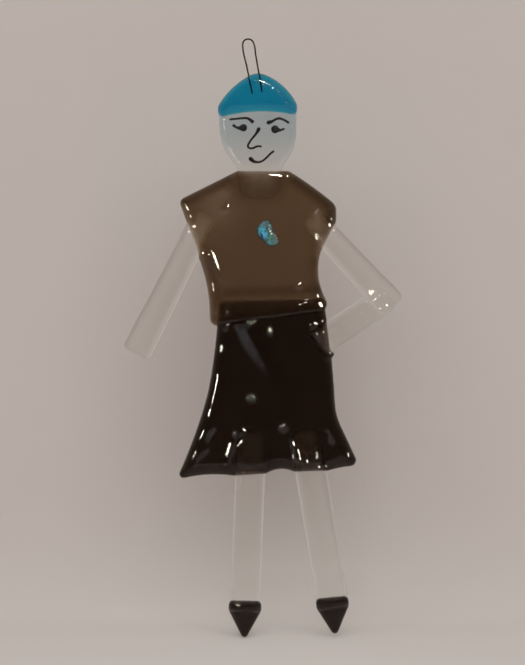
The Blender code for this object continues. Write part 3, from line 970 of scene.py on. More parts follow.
def inside_by(spots: np.ndarray, corners: Outline, batch: int = 4000) -> np.ndarray:
    """Measure how far spots lie inside an outline.

    Args:
        spots: rows of x and z.
        corners: the outline's corners.
        batch: how many spots are worked on at once.

    Returns:
        Distances to the outline, negative outside it.
    """
    points = outline(corners, OUTLINE_STEP, OUTLINE_TURN)
    gaps = np.empty(len(spots))
    inside = np.empty(len(spots), bool)
    starts = points[None, :, :]
    sides = np.roll(points, -1, axis=0)[None, :, :] - starts
    lengths = np.maximum((sides * sides).sum(2), 1e-12)
    rise = np.where(sides[..., 1] == 0, 1.0, sides[..., 1])
    for low in range(0, len(spots), batch):
        some = spots[low : low + batch, None, :]
        away = some - starts
        share = np.clip((away * sides).sum(2) / lengths, 0, 1)
        gaps[low : low + batch] = np.linalg.norm(away - sides * share[..., None], axis=2).min(1)
        crosses = (starts[..., 1] > some[..., 1]) != ((starts + sides)[..., 1] > some[..., 1])
        meets = starts[..., 0] + (some[..., 1] - starts[..., 1]) * sides[..., 0] / rise
        inside[low : low + batch] = (crosses & (some[..., 0] < meets)).sum(1) % 2 == 1
    return np.where(inside, gaps, -gaps)


def ease(share: np.ndarray) -> np.ndarray:
    """Smooth step from nothing to one."""
    share = np.clip(share, 0, 1)
    return share * share * (3 - 2 * share)


# glass panes


@dataclass(frozen=True)
class Swell:
    """A soft dome or ridge in the front, over trapped air or a thicker place.

    Attributes:
        x: where it starts.
        z: where it starts.
        radius: how wide it is, in mm.
        rise: how high it is, in mm.
        run: how far it goes on from its start, nothing for a dome.
        taper: share of the height that is lost along the run.
    """

    x: float
    z: float
    radius: float
    rise: float
    run: Spot = (0.0, 0.0)
    taper: float = 0.0

    def height(self, spots: np.ndarray) -> np.ndarray:
        """Work out how high it stands.

        Args:
            spots: rows of x and z in mm.

        Returns:
            Heights in mm.
        """
        run = np.array(self.run)
        away = spots - (self.x, self.z)
        share = np.clip(away @ run / max(run @ run, 1e-9), 0, 1)
        far = ((away - share[:, None] * run) ** 2).sum(1)
        return self.rise * (1 - self.taper * share) * np.exp(-2 * far / self.radius**2)


@dataclass(frozen=True)
class Slump:
    """How the buried end of a strip has sunk into the pane over it.

    Attributes:
        x: middle of the buried end.
        z: middle of the buried end.
        run: way along the strip from its end to where it is no longer sunk.
        loss: share of the height that is lost at the end.
    """

    x: float
    z: float
    run: Spot
    loss: float

    def keeps(self, spots: np.ndarray) -> np.ndarray:
        """Share of the height that is kept at rows of x and z."""
        run = np.array(self.run)
        return 1 - self.loss * (1 - ease((spots - (self.x, self.z)) @ run / (run @ run)))


@dataclass
class Lap:
    """One pane that lies under another one.

    Attributes:
        pane: the lower pane.
        cover: glass left over it, in mm.
        sinks: whether its buried part has slumped to a soft lens.
    """

    pane: "GlassPane"
    cover: float = 2.2
    sinks: bool = True


@dataclass
class GlassPane:
    """One piece of sheet glass: cut, laid on others, melted down over them.

    Attributes:
        node: solid of the frame that it stands for.
        finish: its glass.
        slot: the record's material slot; not used.
        corners: outline, as for outline().
        base: height of its underside in mm.
        thickness: thickness in mm.
        over: panes that lie under it.
        covers: outlines of the panes that come to lie over it.
        touches: panes that it lies on flat.
        reach: how far beside a hard step its front starts to rise.
        soft: width of the slumped slope of a buried part.
        sink: distance from a covering edge to where the slope is full.
        slump: how its buried end has sunk.
        press: share of its height that a cover presses out of it.
        lead: how far in front of a cover it starts to sink, in mm.
        rim: height of the bead that the melt draws up along the edge.
        roll: width of the rounded front edge.
        foot: how far the back's edge stands in.
        widest: share of the thickness at which the edge stands out most.
        swells: domes and ridges of the front.
        painted_shades: strokes of painted shade, where the skin is darkened as if in shade, as
            shares of one.
        wave: depth of the slow unevenness of the whole piece.
        voxel: grain of the remeshed surface.
        form: melted form before it is hollowed, for cutters.
        item: the piece itself.
    """

    node: str
    finish: Finish
    slot: Slot
    corners: Outline
    base: float = 0.0
    thickness: float = 3.0
    over: tuple[Lap, ...] = ()
    covers: tuple[Outline, ...] = ()
    touches: tuple["GlassPane", ...] = ()
    reach: float = 1.5
    soft: float = 3.9
    sink: float = 3.0
    slump: Slump | None = None
    press: float = 0.38
    lead: float = 0.0
    rim: float = 0.25
    roll: float = 2.3
    foot: float = 0.4
    widest: float = 0.35
    swells: tuple[Swell, ...] = ()
    painted_shades: tuple[Swell, ...] = ()
    wave: float = 0.1
    voxel: float = 0.42
    form: Item | None = None
    item: Item | None = None

    def rings(self) -> list[np.ndarray]:
        """Profile of the cut piece as rings from the back to the front.

        Returns:
            Rings of x, height and z in mm.
        """
        points = outline(self.corners, 1.0)
        ahead = np.roll(points, -1, axis=0) - np.roll(points, 1, axis=0)
        normals = np.stack((ahead[:, 1], -ahead[:, 0]), axis=1)
        normals /= np.linalg.norm(normals, axis=1)[:, None]
        sides = np.roll(points, -1, axis=0) - points
        closing = ((np.roll(normals, -1, axis=0) - normals) * sides).sum(1)
        # where the outline turns in sharply there is less room for the roll
        room = ROLL_ROOM * (sides * sides).sum(1) / np.maximum(closing, 1e-9)
        widths = np.minimum(self.roll, np.minimum(room, np.roll(room, 1)))
        for _ in range(ROLL_EVENING):
            widths = np.minimum(widths, (np.roll(widths, 1) + widths + np.roll(widths, -1)) / 3)
        full = self.thickness * (1 - self.widest)
        levels = [(np.minimum(self.foot, widths), self.base)]
        for k in range(ROLL_STEPS + 1):
            angle = k / ROLL_STEPS * math.pi / 2
            height = self.base + self.thickness - full * (1 - math.sin(angle))
            levels.append((widths * (1 - math.cos(angle)), height))
        rings = []
        for inset, height in levels:
            flat = points - normals * inset[:, None]
            rings.append(np.stack((flat[:, 0], np.full(len(flat), height), flat[:, 1]), axis=1))
        return rings

    def lay_blank(self) -> Item:
        """Model the cut piece: a ring of its outline, filled and extruded level by level.

        Returns:
            The closed blank.
        """
        rings = self.rings()
        bpy.ops.object.select_all(action="DESELECT")
        bpy.ops.mesh.primitive_circle_add(vertices=len(rings[0]), radius=10 * MM)
        item = bpy.context.active_object
        set_coordinates(item, rings[0])
        bpy.ops.object.mode_set(mode="EDIT")
        bpy.ops.mesh.select_all(action="SELECT")
        bpy.ops.mesh.edge_face_add()
        for lower, upper in zip(rings, rings[1:]):
            bpy.ops.mesh.extrude_region()
            shape = bmesh.from_edit_mesh(item.data)
            before = place(lower)
            after = place(upper)
            for vert in [vert for vert in shape.verts if vert.select]:
                nearest = int(((before - np.array(vert.co)) ** 2).sum(1).argmin())
                vert.co = after[nearest]
            bmesh.update_edit_mesh(item.data)
        bpy.ops.mesh.select_all(action="SELECT")
        bpy.ops.mesh.normals_make_consistent(inside=False)
        bpy.ops.object.mode_set(mode="OBJECT")
        return item

    def inset(self, spots: np.ndarray) -> np.ndarray:
        """How far rows of x and z lie inside the outline, negative outside it."""
        return inside_by(spots, self.corners)

    def depth(self, spots: np.ndarray) -> np.ndarray:
        """How far spots lie in under the panes over the piece.

        Args:
            spots: rows of x and z in mm.

        Returns:
            Distances from the nearest covering edge in mm, negative in the open.
        """
        deep = np.full(len(spots), -self.reach - self.sink)
        for corners in self.covers:
            deep = np.maximum(deep, inside_by(spots, corners))
        return deep

    def settled(self, spots: np.ndarray) -> np.ndarray:
        """Share of its height that the melted piece keeps, less than one under a cover."""
        pressed = 1 - self.press * ease((self.depth(spots) + self.lead) / (self.sink + self.lead))
        return pressed * self.slump.keeps(spots) if self.slump else pressed

    def drape(self, spots: np.ndarray) -> np.ndarray:
        """How far the front stands above a flat piece, for what lies under it.

        Args:
            spots: rows of x and z in mm.

        Returns:
            Heights in mm.
        """
        height = np.zeros(len(spots))
        deep = ease(self.inset(spots) / self.sink)
        for lap in self.over:
            pane = lap.pane
            within = pane.inset(spots)
            near = ease((within + self.reach) / (self.reach + pane.roll))
            if lap.sinks:
                gentle = ease((within + SLOPE_START) / (pane.soft + SLOPE_START))
                near += (gentle - near) * deep
            top = pane.base + pane.thickness * pane.settled(spots) + pane.drape(spots)
            needed = np.maximum(top + lap.cover - self.base - self.thickness, 0)
            height = np.maximum(height, needed * near)
        return height

    def melt(self, item: Item) -> None:
        """Round the blank as the kiln does and let it sink over what lies under it.

        Args:
            item: the blank.
        """
        apply_modifier(item, "REMESH", mode="VOXEL", voxel_size=self.voxel * MM)
        apply_modifier(item, "SMOOTH", factor=SMOOTHING, iterations=MELT_PASSES)
        rows = coordinates(item)
        spots = rows[:, (0, 2)]
        inset = self.inset(spots)
        height = rows[:, 1] - self.base
        share = np.clip(height / self.thickness, 0, 1) ** FRONT_POWER
        buried = ease(self.depth(spots) / self.sink)
        lens = LENS_EDGE + (1 - LENS_EDGE) * ease(inset / self.soft)
        bead = self.rim * ease(inset / self.roll) * (1 - buried)
        bead *= np.exp(-((np.maximum(inset - self.roll, 0) / BEAD_FADE) ** 2))
        rows[:, 1] = self.base + height * self.settled(spots) * (1 - buried * (1 - lens))
        rows[:, 1] += share * (self.drape(spots) + bead)
        set_coordinates(item, rows)
        apply_modifier(item, "SMOOTH", factor=SMOOTHING, iterations=SETTLE_PASSES)
        rows = coordinates(item)
        # under a cover the shelf side runs out flat to the edge, so that no groove is left
        low = (self.depth(spots) > FLAT_DEPTH) & (rows[:, 1] < self.base + FLAT_HEIGHT)
        rows[low & (facing_back(item) > FLAT_FACING), 1] = self.base
        rows[:, 1] += share * sum(swell.height(spots) for swell in self.swells)
        set_coordinates(item, rows)
        uneven = bpy.data.textures.new(self.node + "_unevenness", "CLOUDS")
        uneven.noise_scale = WAVE_LENGTH * MM
        uneven.noise_depth = 1
        apply_modifier(
            item,
            "DISPLACE",
            texture=uneven,
            texture_coords="LOCAL",
            strength=self.wave * MM,
            mid_level=0.5,
        )

    def cutter(self, stand: float) -> Item:
        """Copy the melted form as a cutter that reaches out through the back.

        Args:
            stand: how much smaller than the form it is all round, in mm.

        Returns:
            The cutter.
        """
        tool = duplicate(self.form)
        apply_modifier(tool, "DISPLACE", strength=-stand * MM, mid_level=0.0)
        only(tool)
        bpy.ops.object.mode_set(mode="EDIT")
        # the flat of the back goes a millimetre on, clear of the shelf
        floor = SHELF_Y - (self.base + CUT_HEIGHT) * MM
        pick(tool, lambda vert: vert.co.y > floor and vert.normal.y > CUT_FACING)
        bpy.ops.transform.translate(value=(0.0, MM, 0.0))
        bpy.ops.object.mode_set(mode="OBJECT")
        return tool

    def hollow(self, tool: Item) -> None:
        """Take a cutter out of the piece and delete it.

        Args:
            tool: the cutter.
        """
        settings = {"operation": "DIFFERENCE", "solver": "MANIFOLD", "object": tool}
        apply_modifier(self.item, "BOOLEAN", **settings)
        remove(tool)

    def drop_chips(self) -> None:
        """Delete what the cuts have parted from the piece."""
        only(self.item)
        bpy.ops.object.mode_set(mode="EDIT")
        bpy.ops.mesh.select_mode(type="VERT")
        bpy.ops.mesh.select_all(action="DESELECT")
        shape = bmesh.from_edit_mesh(self.item.data)
        kept: set[bmesh.types.BMVert] = set()
        queue = [min(shape.verts, key=lambda vert: vert.co.y)]
        while queue:
            vert = queue.pop()
            if vert not in kept:
                kept.add(vert)
                queue.extend(edge.other_vert(vert) for edge in vert.link_edges)
        chips = [vert for vert in shape.verts if vert not in kept]
        for vert in chips:
            vert.select_set(True)
        bmesh.update_edit_mesh(self.item.data)
        if chips:
            bpy.ops.mesh.delete(type="VERT")
        bpy.ops.object.mode_set(mode="OBJECT")

    def build(self) -> "GlassPane":
        """Model the piece and hollow it for the panes under it.

        Returns:
            The pane itself.
        """
        self.item = self.lay_blank()
        self.melt(self.item)
        self.form = duplicate(self.item)
        for lap in self.over:
            self.hollow(lap.pane.cutter(Cut.SNUG.value))
        if self.over:
            self.drop_chips()
        return self

    def mark_melt(self) -> None:
        """Mark where the piece is melted into its neighbours and where its skin has painted shade.
        """
        rows = coordinates(self.item)
        spots = rows[:, (0, 2)]
        inset = self.inset(spots)
        back = (facing_back(self.item) > BACK_FACING) & (rows[:, 1] < self.base + BACK_HEIGHT)
        fused = np.zeros(len(rows))
        fused[(self.depth(spots) > SEAM) & (~back | (inset < STRIP))] = 1
        places = place(rows)
        for pane in [*(lap.pane for lap in self.over), *self.touches]:
            within = pane.inset(spots)
            faces = [tuple(face.vertices) for face in pane.form.data.polygons]
            tree = BVHTree.FromPolygons([vert.co for vert in pane.form.data.vertices], faces)
            for i in np.flatnonzero((within > -SEAM) & (rows[:, 1] > SEAM_FOOT)):
                if tree.find_nearest(places[i], SEAM * MM)[0] is not None:
                    fused[i] = 1
            if pane not in self.touches:
                strip = (np.abs(within) < STRIP) & (rows[:, 1] < STRIP_HEIGHT)
                fused[strip & (inset > STRIP_INSET)] = 1
        # painted shade: the strokes where the skin is painted dark
        painted_shade = sum((swell.height(spots) for swell in self.painted_shades), np.zeros(len(rows)))
        for name, values in ((FUSED, fused), (SHADE, np.clip(painted_shade, 0, 1))):
            mask = self.item.data.attributes.new(name, "FLOAT", "POINT")
            mask.data.foreach_set("value", values)

    def dress(self, material: bpy.types.Material) -> None:
        """Shade the piece, give it its glass and put it in the frame."""
        smooth(self.item, Crease.GLASS)
        finish_piece(self.item, material, self.node)

    def clear_form(self) -> None:
        """Delete the copy that cutters were made from."""
        remove(self.form)
        self.form = None


@dataclass
class DrawnLine:
    """A round line of changing width: an enamel stroke or a wire.

    Attributes:
        node: solid of the frame that it stands for.
        points: rows of x, z and half width in mm.
        level: height of its middle in mm.
    """

    node: str
    points: list[tuple[float, float, float]]
    level: float

    def sweep(self, resolution: int = 10) -> Item:
        """Sweep a round section along a smooth curve through the points.

        Args:
            resolution: steps between two points.

        Returns:
            The swept tube as a mesh.
        """
        bpy.ops.object.select_all(action="DESELECT")
        bpy.ops.curve.primitive_bezier_curve_add(location=(0.0, 0.0, 0.0))
        item = bpy.context.active_object
        curve = item.data
        curve.dimensions = "3D"
        curve.resolution_u = resolution
        curve.bevel_depth = MM
        curve.bevel_resolution = LINE_ROUND
        curve.use_fill_caps = True
        line = curve.splines[0]
        line.bezier_points.add(len(self.points) - 2)
        for spot, (x, z, half) in zip(line.bezier_points, self.points):
            spot.co = (x * MM, SHELF_Y - self.level * MM, z * MM)
            spot.radius = half
            spot.handle_left_type = "AUTO"
            spot.handle_right_type = "AUTO"
        bpy.ops.object.convert(target="MESH")
        item = bpy.context.active_object
        bpy.ops.object.mode_set(mode="EDIT")
        bpy.ops.mesh.select_all(action="SELECT")
        bpy.ops.mesh.remove_doubles(threshold=WELD * MM)
        bpy.ops.mesh.normals_make_consistent(inside=False)
        bpy.ops.object.mode_set(mode="OBJECT")
        return item


@dataclass
class EnamelStroke(DrawnLine):
    """A pen stroke of enamel, beaded by the firing and flat on the glass under it.

    Attributes:
        flat: share of its round height that is left above the glass.
        sunk: share that is left below it.
        spread: how much wider the firing has made it on each side, in mm.
        voxel: fineness of its mesh in mm.
    """

    flat: float = 0.32
    sunk: float = 0.08
    spread: float = 0.08
    voxel: float = 0.1

    def build(self, material: bpy.types.Material) -> None:
        """Model the stroke with its round ends and put it in the frame.

        Args:
            material: the built enamel.
        """
        self.points = [(x, z, half + self.spread) for x, z, half in self.points]
        item = self.sweep()
        level = SHELF_Y - self.level * MM
        ends = []
        for x, z, half in (self.points[0], self.points[-1]):
            bpy.ops.object.select_all(action="DESELECT")
            bpy.ops.mesh.primitive_uv_sphere_add(
                segments=20, ring_count=12, radius=half * MM, location=(x * MM, level, z * MM)
            )
            ends.append(bpy.context.active_object)
        only(item)
        for end in ends:
            end.select_set(True)
        bpy.ops.object.join()
        bpy.ops.object.transform_apply(location=True, rotation=True, scale=True)
        apply_modifier(item, "REMESH", mode="VOXEL", voxel_size=self.voxel * MM)
        apply_modifier(item, "SMOOTH", factor=SMOOTHING, iterations=SETTLE_PASSES)
        only(item)
        bpy.ops.object.mode_set(mode="EDIT")
        for front, share in ((True, self.flat), (False, self.sunk)):
            pick(item, lambda vert, front=front: (vert.co.y < level) == front)
            bpy.ops.transform.resize(
                value=(1.0, share, 1.0), center_override=(0.0, level, 0.0)
            )
        bpy.ops.object.mode_set(mode="OBJECT")
        smooth(item, Crease.ENAMEL)
        finish_piece(item, material, self.node)


# sub-assemblies

# the two large panes, whose edges others slump under
BODICE_OUTLINE: Outline = (
    (-16.1, -120.7, 3.2, 0.0),
    (36.6, -113.8, 3.2, -3.4),
    (31.1, -88.6, 0.6, 0.0),
    (37.5, -76.3, 2.6, 0.0),
    (37.7, -69.4, 5.2, 0.5),
    (17.6, -54.8, 3.2, 0.0),
    (-3.9, -54.6, 3.2, 0.0),
    (-29.0, -67.1, 2.6, 0.0),
    (-20.3, -92.0, 0.6, -1.5),
)
SKIRT_OUTLINE: Outline = (
    (-30.4, -185.4, 1.8, -1.4),
    (-5.46, -183.4, 0.6, 0.0),
    (7.86, -182.5, 2.6, -1.6),
    (19.81, -181.7, 2.0, 0.0),
    (33.99, -181.2, 1.6, -0.4),
    (47.3, -179.02, 2.6, 0.0),
    (37.2, -157.27, 22.0, 0.2),
    (35.6, -133.6, 0.8, 0.0),
    (37.3, -131.9, 0.3, 0.0),
    (35.1, -130.6, 0.8, 0.1),
    (32.2, -108.3, 2.6, 0.0),
    (-12.4, -109.3, 2.6, -0.9),
    (-16.82, -148.57, 22.0, -0.9),
)
ARM_CORNER = 2.6
LEG_CORNER = 4.4
STEP_CORNER = 2.2
SHOE_CORNERS = (2.2, 4.4, 1.7, 4.4, 2.2)
BROOCH_CORNERS = (0.9, 0.9, 0.6, 0.6, 0.8, 0.8, 0.8, 0.8, 0.8, 0.8, 0.7, 0.7, 0.8)
PEN = 0.38  # half width of the pen's thin lines


@dataclass
class Head:
    """Clear face blank with a turquoise cap, a drawn face and the wire to hang it by."""

    face_corners: Outline = (
        (-3.5, -66.9, 6.3, 0.0),
        (13.9, -66.9, 6.3, 0.0),
        (14.5, -52.9, 4.4, 1.9),
        (20.7, -36.4, 8.0, 0.0),
        (20.7, -27.6, 4.8, 2.5),
        (4.2, -13.9, 8.0, 2.0),
        (-12.3, -28.4, 4.8, 0.0),
        (-11.8, -36.4, 8.0, 1.9),
        (-4.1, -52.9, 4.4, 0.0),
    )
    cap_corners: Outline = (
        (-11.8, -32.8, 2.4, -2.1),
        (20.8, -31.8, 2.4, 0.0),
        (21.2, -27.6, 4.8, 2.5),
        (4.2, -13.4, 8.0, 2.0),
        (-12.8, -28.4, 4.8, 0.0),
    )
    loop_points: tuple[Spot, ...] = (
        (2.05, -22.58), (0.06, -12.51), (-1.94, -2.44), (-1.7, -0.91), (-0.8, 0.05), (0.47, 0.33),
        (1.7, -0.07), (2.53, -1.08), (3.56, -6.64), (6.18, -21.82),
    )
    wire_radius: float = 0.34
    wire_level: float = 3.6
    ink_level: float = 2.95
    pane: GlassPane | None = None
    cap: GlassPane | None = None

    def build_blank(self) -> None:
        """Model the clear blank."""
        self.pane = GlassPane(
            "head", VEILED_GLASS, Slot.CLEAR, self.face_corners, covers=(BODICE_OUTLINE,),
            soft=6.0, slump=Slump(5.2, -66.9, (0.0, 11.0), 0.6), lead=3.0, wave=0.05, rim=0.15,
        ).build()

    def build_cap(self) -> None:
        """Model the cap on the blank."""
        self.cap = GlassPane(
            "cap", TURQUOISE_GLASS, Slot.TURQUOISE, self.cap_corners, base=2.95, thickness=3.3,
            touches=(self.pane,), rim=0.0, roll=4.6, foot=0.1, widest=0.12,
        ).build()
        self.pane.touches = (self.cap,)

    def build_loop(self, material: bpy.types.Material) -> None:
        """Model the hairpin of wire and its groove in the cap.

        Args:
            material: the built wire finish.
        """
        points = [(x, z, self.wire_radius) for x, z in self.loop_points]
        wire = DrawnLine("hanging_loop", points, self.wire_level).sweep(14)
        groove = duplicate(wire)
        apply_modifier(groove, "DISPLACE", strength=-Cut.WIRE.value * MM, mid_level=0.0)
        self.cap.hollow(groove)
        smooth(wire, Crease.WIRE)
        finish_piece(wire, material, "hanging_loop")

    def build_face(self, material: bpy.types.Material) -> None:
        """Draw brows, eyes, nose and mouth.

        Args:
            material: the built enamel.
        """
        drawn = {
            "left_brow": [
                (-7.18, -33.31, PEN), (-4.33, -33.05, PEN), (-1.6, -32.8, 0.42),
                (0.0, -32.85, 0.46), (1.22, -33.54, 0.55), (2.06, -34.2, 0.76),
            ],
            "right_brow": [
                (8.9, -34.65, 0.8), (10.71, -34.02, 0.5), (12.05, -33.2, 0.42),
                (13.65, -32.95, 0.46), (15.33, -33.5, 0.42), (17.18, -34.6, 0.44),
            ],
            "left_eye": [
                (-1.64, -36.83, 1.5), (-3.2, -36.95, 0.75), (-4.66, -36.62, 0.42),
                (-5.71, -35.91, 0.55),
            ],
            "right_eye": [
                (11.63, -37.51, 1.6), (13.2, -37.75, 0.8), (14.15, -37.76, 0.42),
                (15.29, -37.34, 0.4),
            ],
            "nose_line": [
                (4.79, -37.42, 0.75), (4.3, -38.4, 0.6), (3.5, -39.6, 0.42), (2.02, -41.4, PEN),
                (0.8, -43.19, PEN), (0.25, -44.56, PEN), (0.8, -45.3, PEN), (2.02, -45.5, PEN),
                (3.44, -44.94, PEN), (4.45, -44.6, PEN), (5.67, -44.7, 0.4),
            ],
            "mouth_line": [
                (1.43, -49.94, 0.85), (2.81, -51.0, 0.6), (4.24, -51.28, 0.42),
                (6.26, -50.82, PEN), (8.06, -49.39, PEN), (9.7, -47.75, PEN), (10.92, -46.79, 0.4),
            ],
        }
        for node, points in drawn.items():
            EnamelStroke(node, points, self.ink_level).build(material)


@dataclass
class Arms:
    """Three clear strips: a straight arm, and a bent one whose elbow is lapped."""

    straight_corners: Outline = polygon(
        ARM_CORNER, (-52.76, -129.08), (-41.04, -134.94), (-12.03, -74.54), (-21.77, -69.66)
    )
    forearm_corners: Outline = polygon(
        ARM_CORNER, (24.86, -123.32), (32.44, -134.38), (62.67, -112.34), (56.35, -103.1)
    )
    upper_corners: Outline = polygon(
        ARM_CORNER, (56.47, -116.46), (66.02, -107.64), (29.31, -69.4), (21.29, -76.8)
    )
    straight: GlassPane | None = None
    forearm: GlassPane | None = None
    upper: GlassPane | None = None

    def build(self) -> None:
        """Model the three strips."""
        self.straight = GlassPane(
            "straight_arm", CLEAR_GLASS, Slot.CLEAR, self.straight_corners,
            covers=(BODICE_OUTLINE,), slump=Slump(-16.9, -72.1, (-7.2, -14.3), 0.6),
        ).build()
        self.forearm = GlassPane(
            "forearm", CLEAR_GLASS, Slot.CLEAR, self.forearm_corners,
            covers=(SKIRT_OUTLINE, self.upper_corners), swells=(Swell(37.5, -121.1, 1.5, 0.36),),
            slump=Slump(28.6, -128.8, (6.6, 4.5), 0.6),
        ).build()
        self.upper = GlassPane(
            "upper_arm", CLEAR_GLASS, Slot.CLEAR, self.upper_corners, over=(Lap(self.forearm),),
            covers=(BODICE_OUTLINE,),
            swells=(Swell(51.4, -106.4, 1.2, 0.2), Swell(57.2, -103.5, 1.2, 0.2)),
            slump=Slump(25.3, -73.1, (10.2, -11.0), 0.6),
        ).build()


@dataclass
class Leg:
    """A clear strip that ends in a pointed dark shoe.

    Attributes:
        side: which leg it is.
        corners: the strip's outline.
        tip: middle of its buried end.
        shoe_corners: the shoe's outline.
        step_corners: outline of the step where the shoe rides up on the strip.
        strip: the built strip.
        shoe: the built shoe.
    """

    side: Side
    corners: Outline
    tip: Spot
    shoe_corners: Outline
    step_corners: Outline
    strip: GlassPane | None = None
    shoe: GlassPane | None = None

    def build_strip(self) -> None:
        """Model the strip."""
        self.strip = GlassPane(
            self.side.value + "_leg", CLEAR_GLASS, Slot.CLEAR, self.corners,
            covers=(SKIRT_OUTLINE,), slump=Slump(*self.tip, (0.0, -16.0), 0.5),
        ).build()

    def build_shoe(self) -> None:
        """Model the shoe over a step as wide as the strip and its rounded edges."""
        node = self.side.value + "_shoe"
        step = GlassPane(
            node + "_step", CLEAR_GLASS, Slot.CLEAR, self.step_corners, rim=0.0, wave=0.01
        ).build()
        self.shoe = GlassPane(
            node, DARK_BRONZE_GLASS, Slot.DARK_BRONZE, self.shoe_corners,
            over=(Lap(step, cover=2.6, sinks=False),), voxel=0.32,
        ).build()
        self.shoe.over = ()
        step.clear_form()
        remove(step.item)


@dataclass
class Legs:
    """The two legs."""

    left: Leg = field(
        default_factory=lambda: Leg(
            Side.LEFT,
            polygon(
                LEG_CORNER, (-7.47, -240.2), (5.22, -240.71), (8.33, -163.27), (-4.36, -162.76)
            ),
            (2.0, -163.0),
            polygon(
                SHOE_CORNERS, (-7.93, -235.3), (-8.02, -239.7), (-1.32, -253.19), (5.97, -240.01),
                (6.07, -235.61),
            ),
            polygon(
                STEP_CORNER, (-12.72, -239.99), (10.46, -240.92), (11.23, -221.93),
                (-11.96, -221.0),
            ),
        )
    )
    right: Leg = field(
        default_factory=lambda: Leg(
            Side.RIGHT,
            polygon(
                LEG_CORNER, (29.73, -240.02), (42.95, -237.81), (30.29, -162.16), (17.07, -164.37)
            ),
            (23.7, -163.3),
            polygon(
                SHOE_CORNERS, (28.54, -234.62), (28.95, -239.0), (37.13, -251.65),
                (42.89, -237.73), (42.49, -233.35),
            ),
            polygon(
                STEP_CORNER, (24.9, -240.83), (47.78, -237.0), (44.65, -218.26), (21.76, -222.09)
            ),
        )
    )

    def build(self) -> None:
        """Model both strips, then both shoes."""
        for leg in (self.left, self.right):
            leg.build_strip()
        for leg in (self.left, self.right):
            leg.build_shoe()


@dataclass
class Skirt:
    """Dark bronze pane that flares to the hem and shows the limbs under it as swellings."""

    swells: tuple[Swell, ...] = (
        Swell(9.3, -122.6, 1.7, 0.42),
        Swell(28.2, -119.9, 1.7, 0.42),
        Swell(-9.2, -120.5, 1.6, 0.38),
        Swell(-2.5, -119.2, 1.6, 0.36, (3.0, 0.1)),
        Swell(1.8, -150.4, 1.7, 0.42),
        Swell(-4.0, -165.0, 1.8, 0.42, (2.2, 0.6)),
        Swell(15.2, -162.5, 1.7, 0.42),
        Swell(24.9, -177.7, 1.5, 0.38),
        Swell(11.4, -179.3, 1.5, 0.36),
        Swell(-6.4, -169.4, 1.5, 0.3, (-2.3, -8.6)),
        Swell(-2.9, -172.2, 1.4, 0.28, (-0.2, -5.4)),
        Swell(-1.5, -117.5, 6.0, 0.55, (14.5, -26.0), 0.75),
    )
    leg_cover: float = 2.35
    arm_cover: float = 2.1
    pane: GlassPane | None = None

    def build(self, legs: Legs, forearm: GlassPane) -> None:
        """Model the pane.

        Args:
            legs: strips under its hem.
            forearm: strip under its right side.
        """
        self.pane = GlassPane(
            "skirt", DARK_BRONZE_GLASS, Slot.DARK_BRONZE, SKIRT_OUTLINE,
            over=(
                Lap(legs.left.strip, self.leg_cover),
                Lap(legs.right.strip, self.leg_cover),
                Lap(forearm, self.arm_cover),
            ),
            covers=(BODICE_OUTLINE,), swells=self.swells, soft=1.6, rim=0.1, roll=4.2,
        ).build()


@dataclass
class Bodice:
    """Bronze pane over the neck's tab, the arms' tops and the skirt's top, with a brooch."""

    swells: tuple[Swell, ...] = (
        Swell(-10.4, -71.3, 2.0, 0.46, (1.9, 0.8)),
        Swell(29.5, -72.2, 1.6, 0.37),
        Swell(-15.2, -89.6, 1.5, 0.3, (4.0, -10.8)),
        Swell(21.9, -103.3, 1.8, 0.42),
        Swell(22.9, -110.7, 1.6, 0.38, (1.4, 0.0)),
        Swell(-9.2, -115.1, 1.6, 0.38),
        Swell(-12.6, -118.2, 2.6, 0.5, (45.0, 5.8)),
        Swell(-13.2, -67.5, 9.5, -0.6, (1.0, -5.0)),
    )
    # painted shade: dark bands on the shoulders, the arm holes, the waist's sides, above the waist
    # and over the neck's tab
    painted_shades: tuple[Swell, ...] = (
        Swell(-26.5, -67.6, 3.6, 0.9, (18.0, 9.4)),
        Swell(20.5, -58.4, 3.7, 1.0, (14.2, -10.6)),
        Swell(35.8, -71.0, 3.6, 0.8, (-0.3, -4.0)),
        Swell(32.6, -93.0, 3.6, 0.6, (2.2, 18.0)),
        Swell(-8.0, -106.0, 3.4, 0.6, (38.0, 1.0)),
        Swell(1.5, -60.8, 8.6, 1.0, (7.6, 0.0)),
        Swell(-15.8, -92.5, 3.2, 0.4, (5.0, -21.5)),
        Swell(28.4, -93.0, 3.2, 0.4, (2.6, -17.0)),
    )
    brooch_corners: Outline = polygon(
        BROOCH_CORNERS, (11.21, -86.86), (13.48, -85.51), (13.02, -83.45), (11.97, -81.82),
        (10.12, -77.49), (9.45, -75.81), (7.01, -75.64), (5.54, -76.82), (4.41, -78.16),
        (3.95, -80.68), (4.41, -82.53), (6.26, -84.13), (8.53, -86.65),
    )
    pane: GlassPane | None = None
    brooch: GlassPane | None = None

    def build(self, neck: GlassPane, arms: Arms, skirt: GlassPane) -> None:
        """Model the pane and the chip on it.

        Args:
            neck: head's blank, whose tab it covers.
            arms: strips under its shoulders and waist.
            skirt: pane whose top it covers.
        """
        self.pane = GlassPane(
            "bodice", BRONZE_GLASS, Slot.BRONZE, BODICE_OUTLINE,
            over=(
                Lap(neck, cover=1.4),
                Lap(arms.straight, cover=1.4),
                Lap(arms.upper, cover=1.95),
                Lap(arms.forearm, cover=2.0),
                Lap(skirt, cover=1.0),
            ),
            swells=self.swells, painted_shades=self.painted_shades, rim=0.2, roll=3.4,
        ).build()
        self.brooch = GlassPane(
            "brooch", DICHROIC_CHIP, Slot.DICHROIC, self.brooch_corners, base=2.85, thickness=1.8,
            roll=1.2, foot=0.15, rim=0.0, wave=0.36, voxel=0.16,
        ).build()


# studio


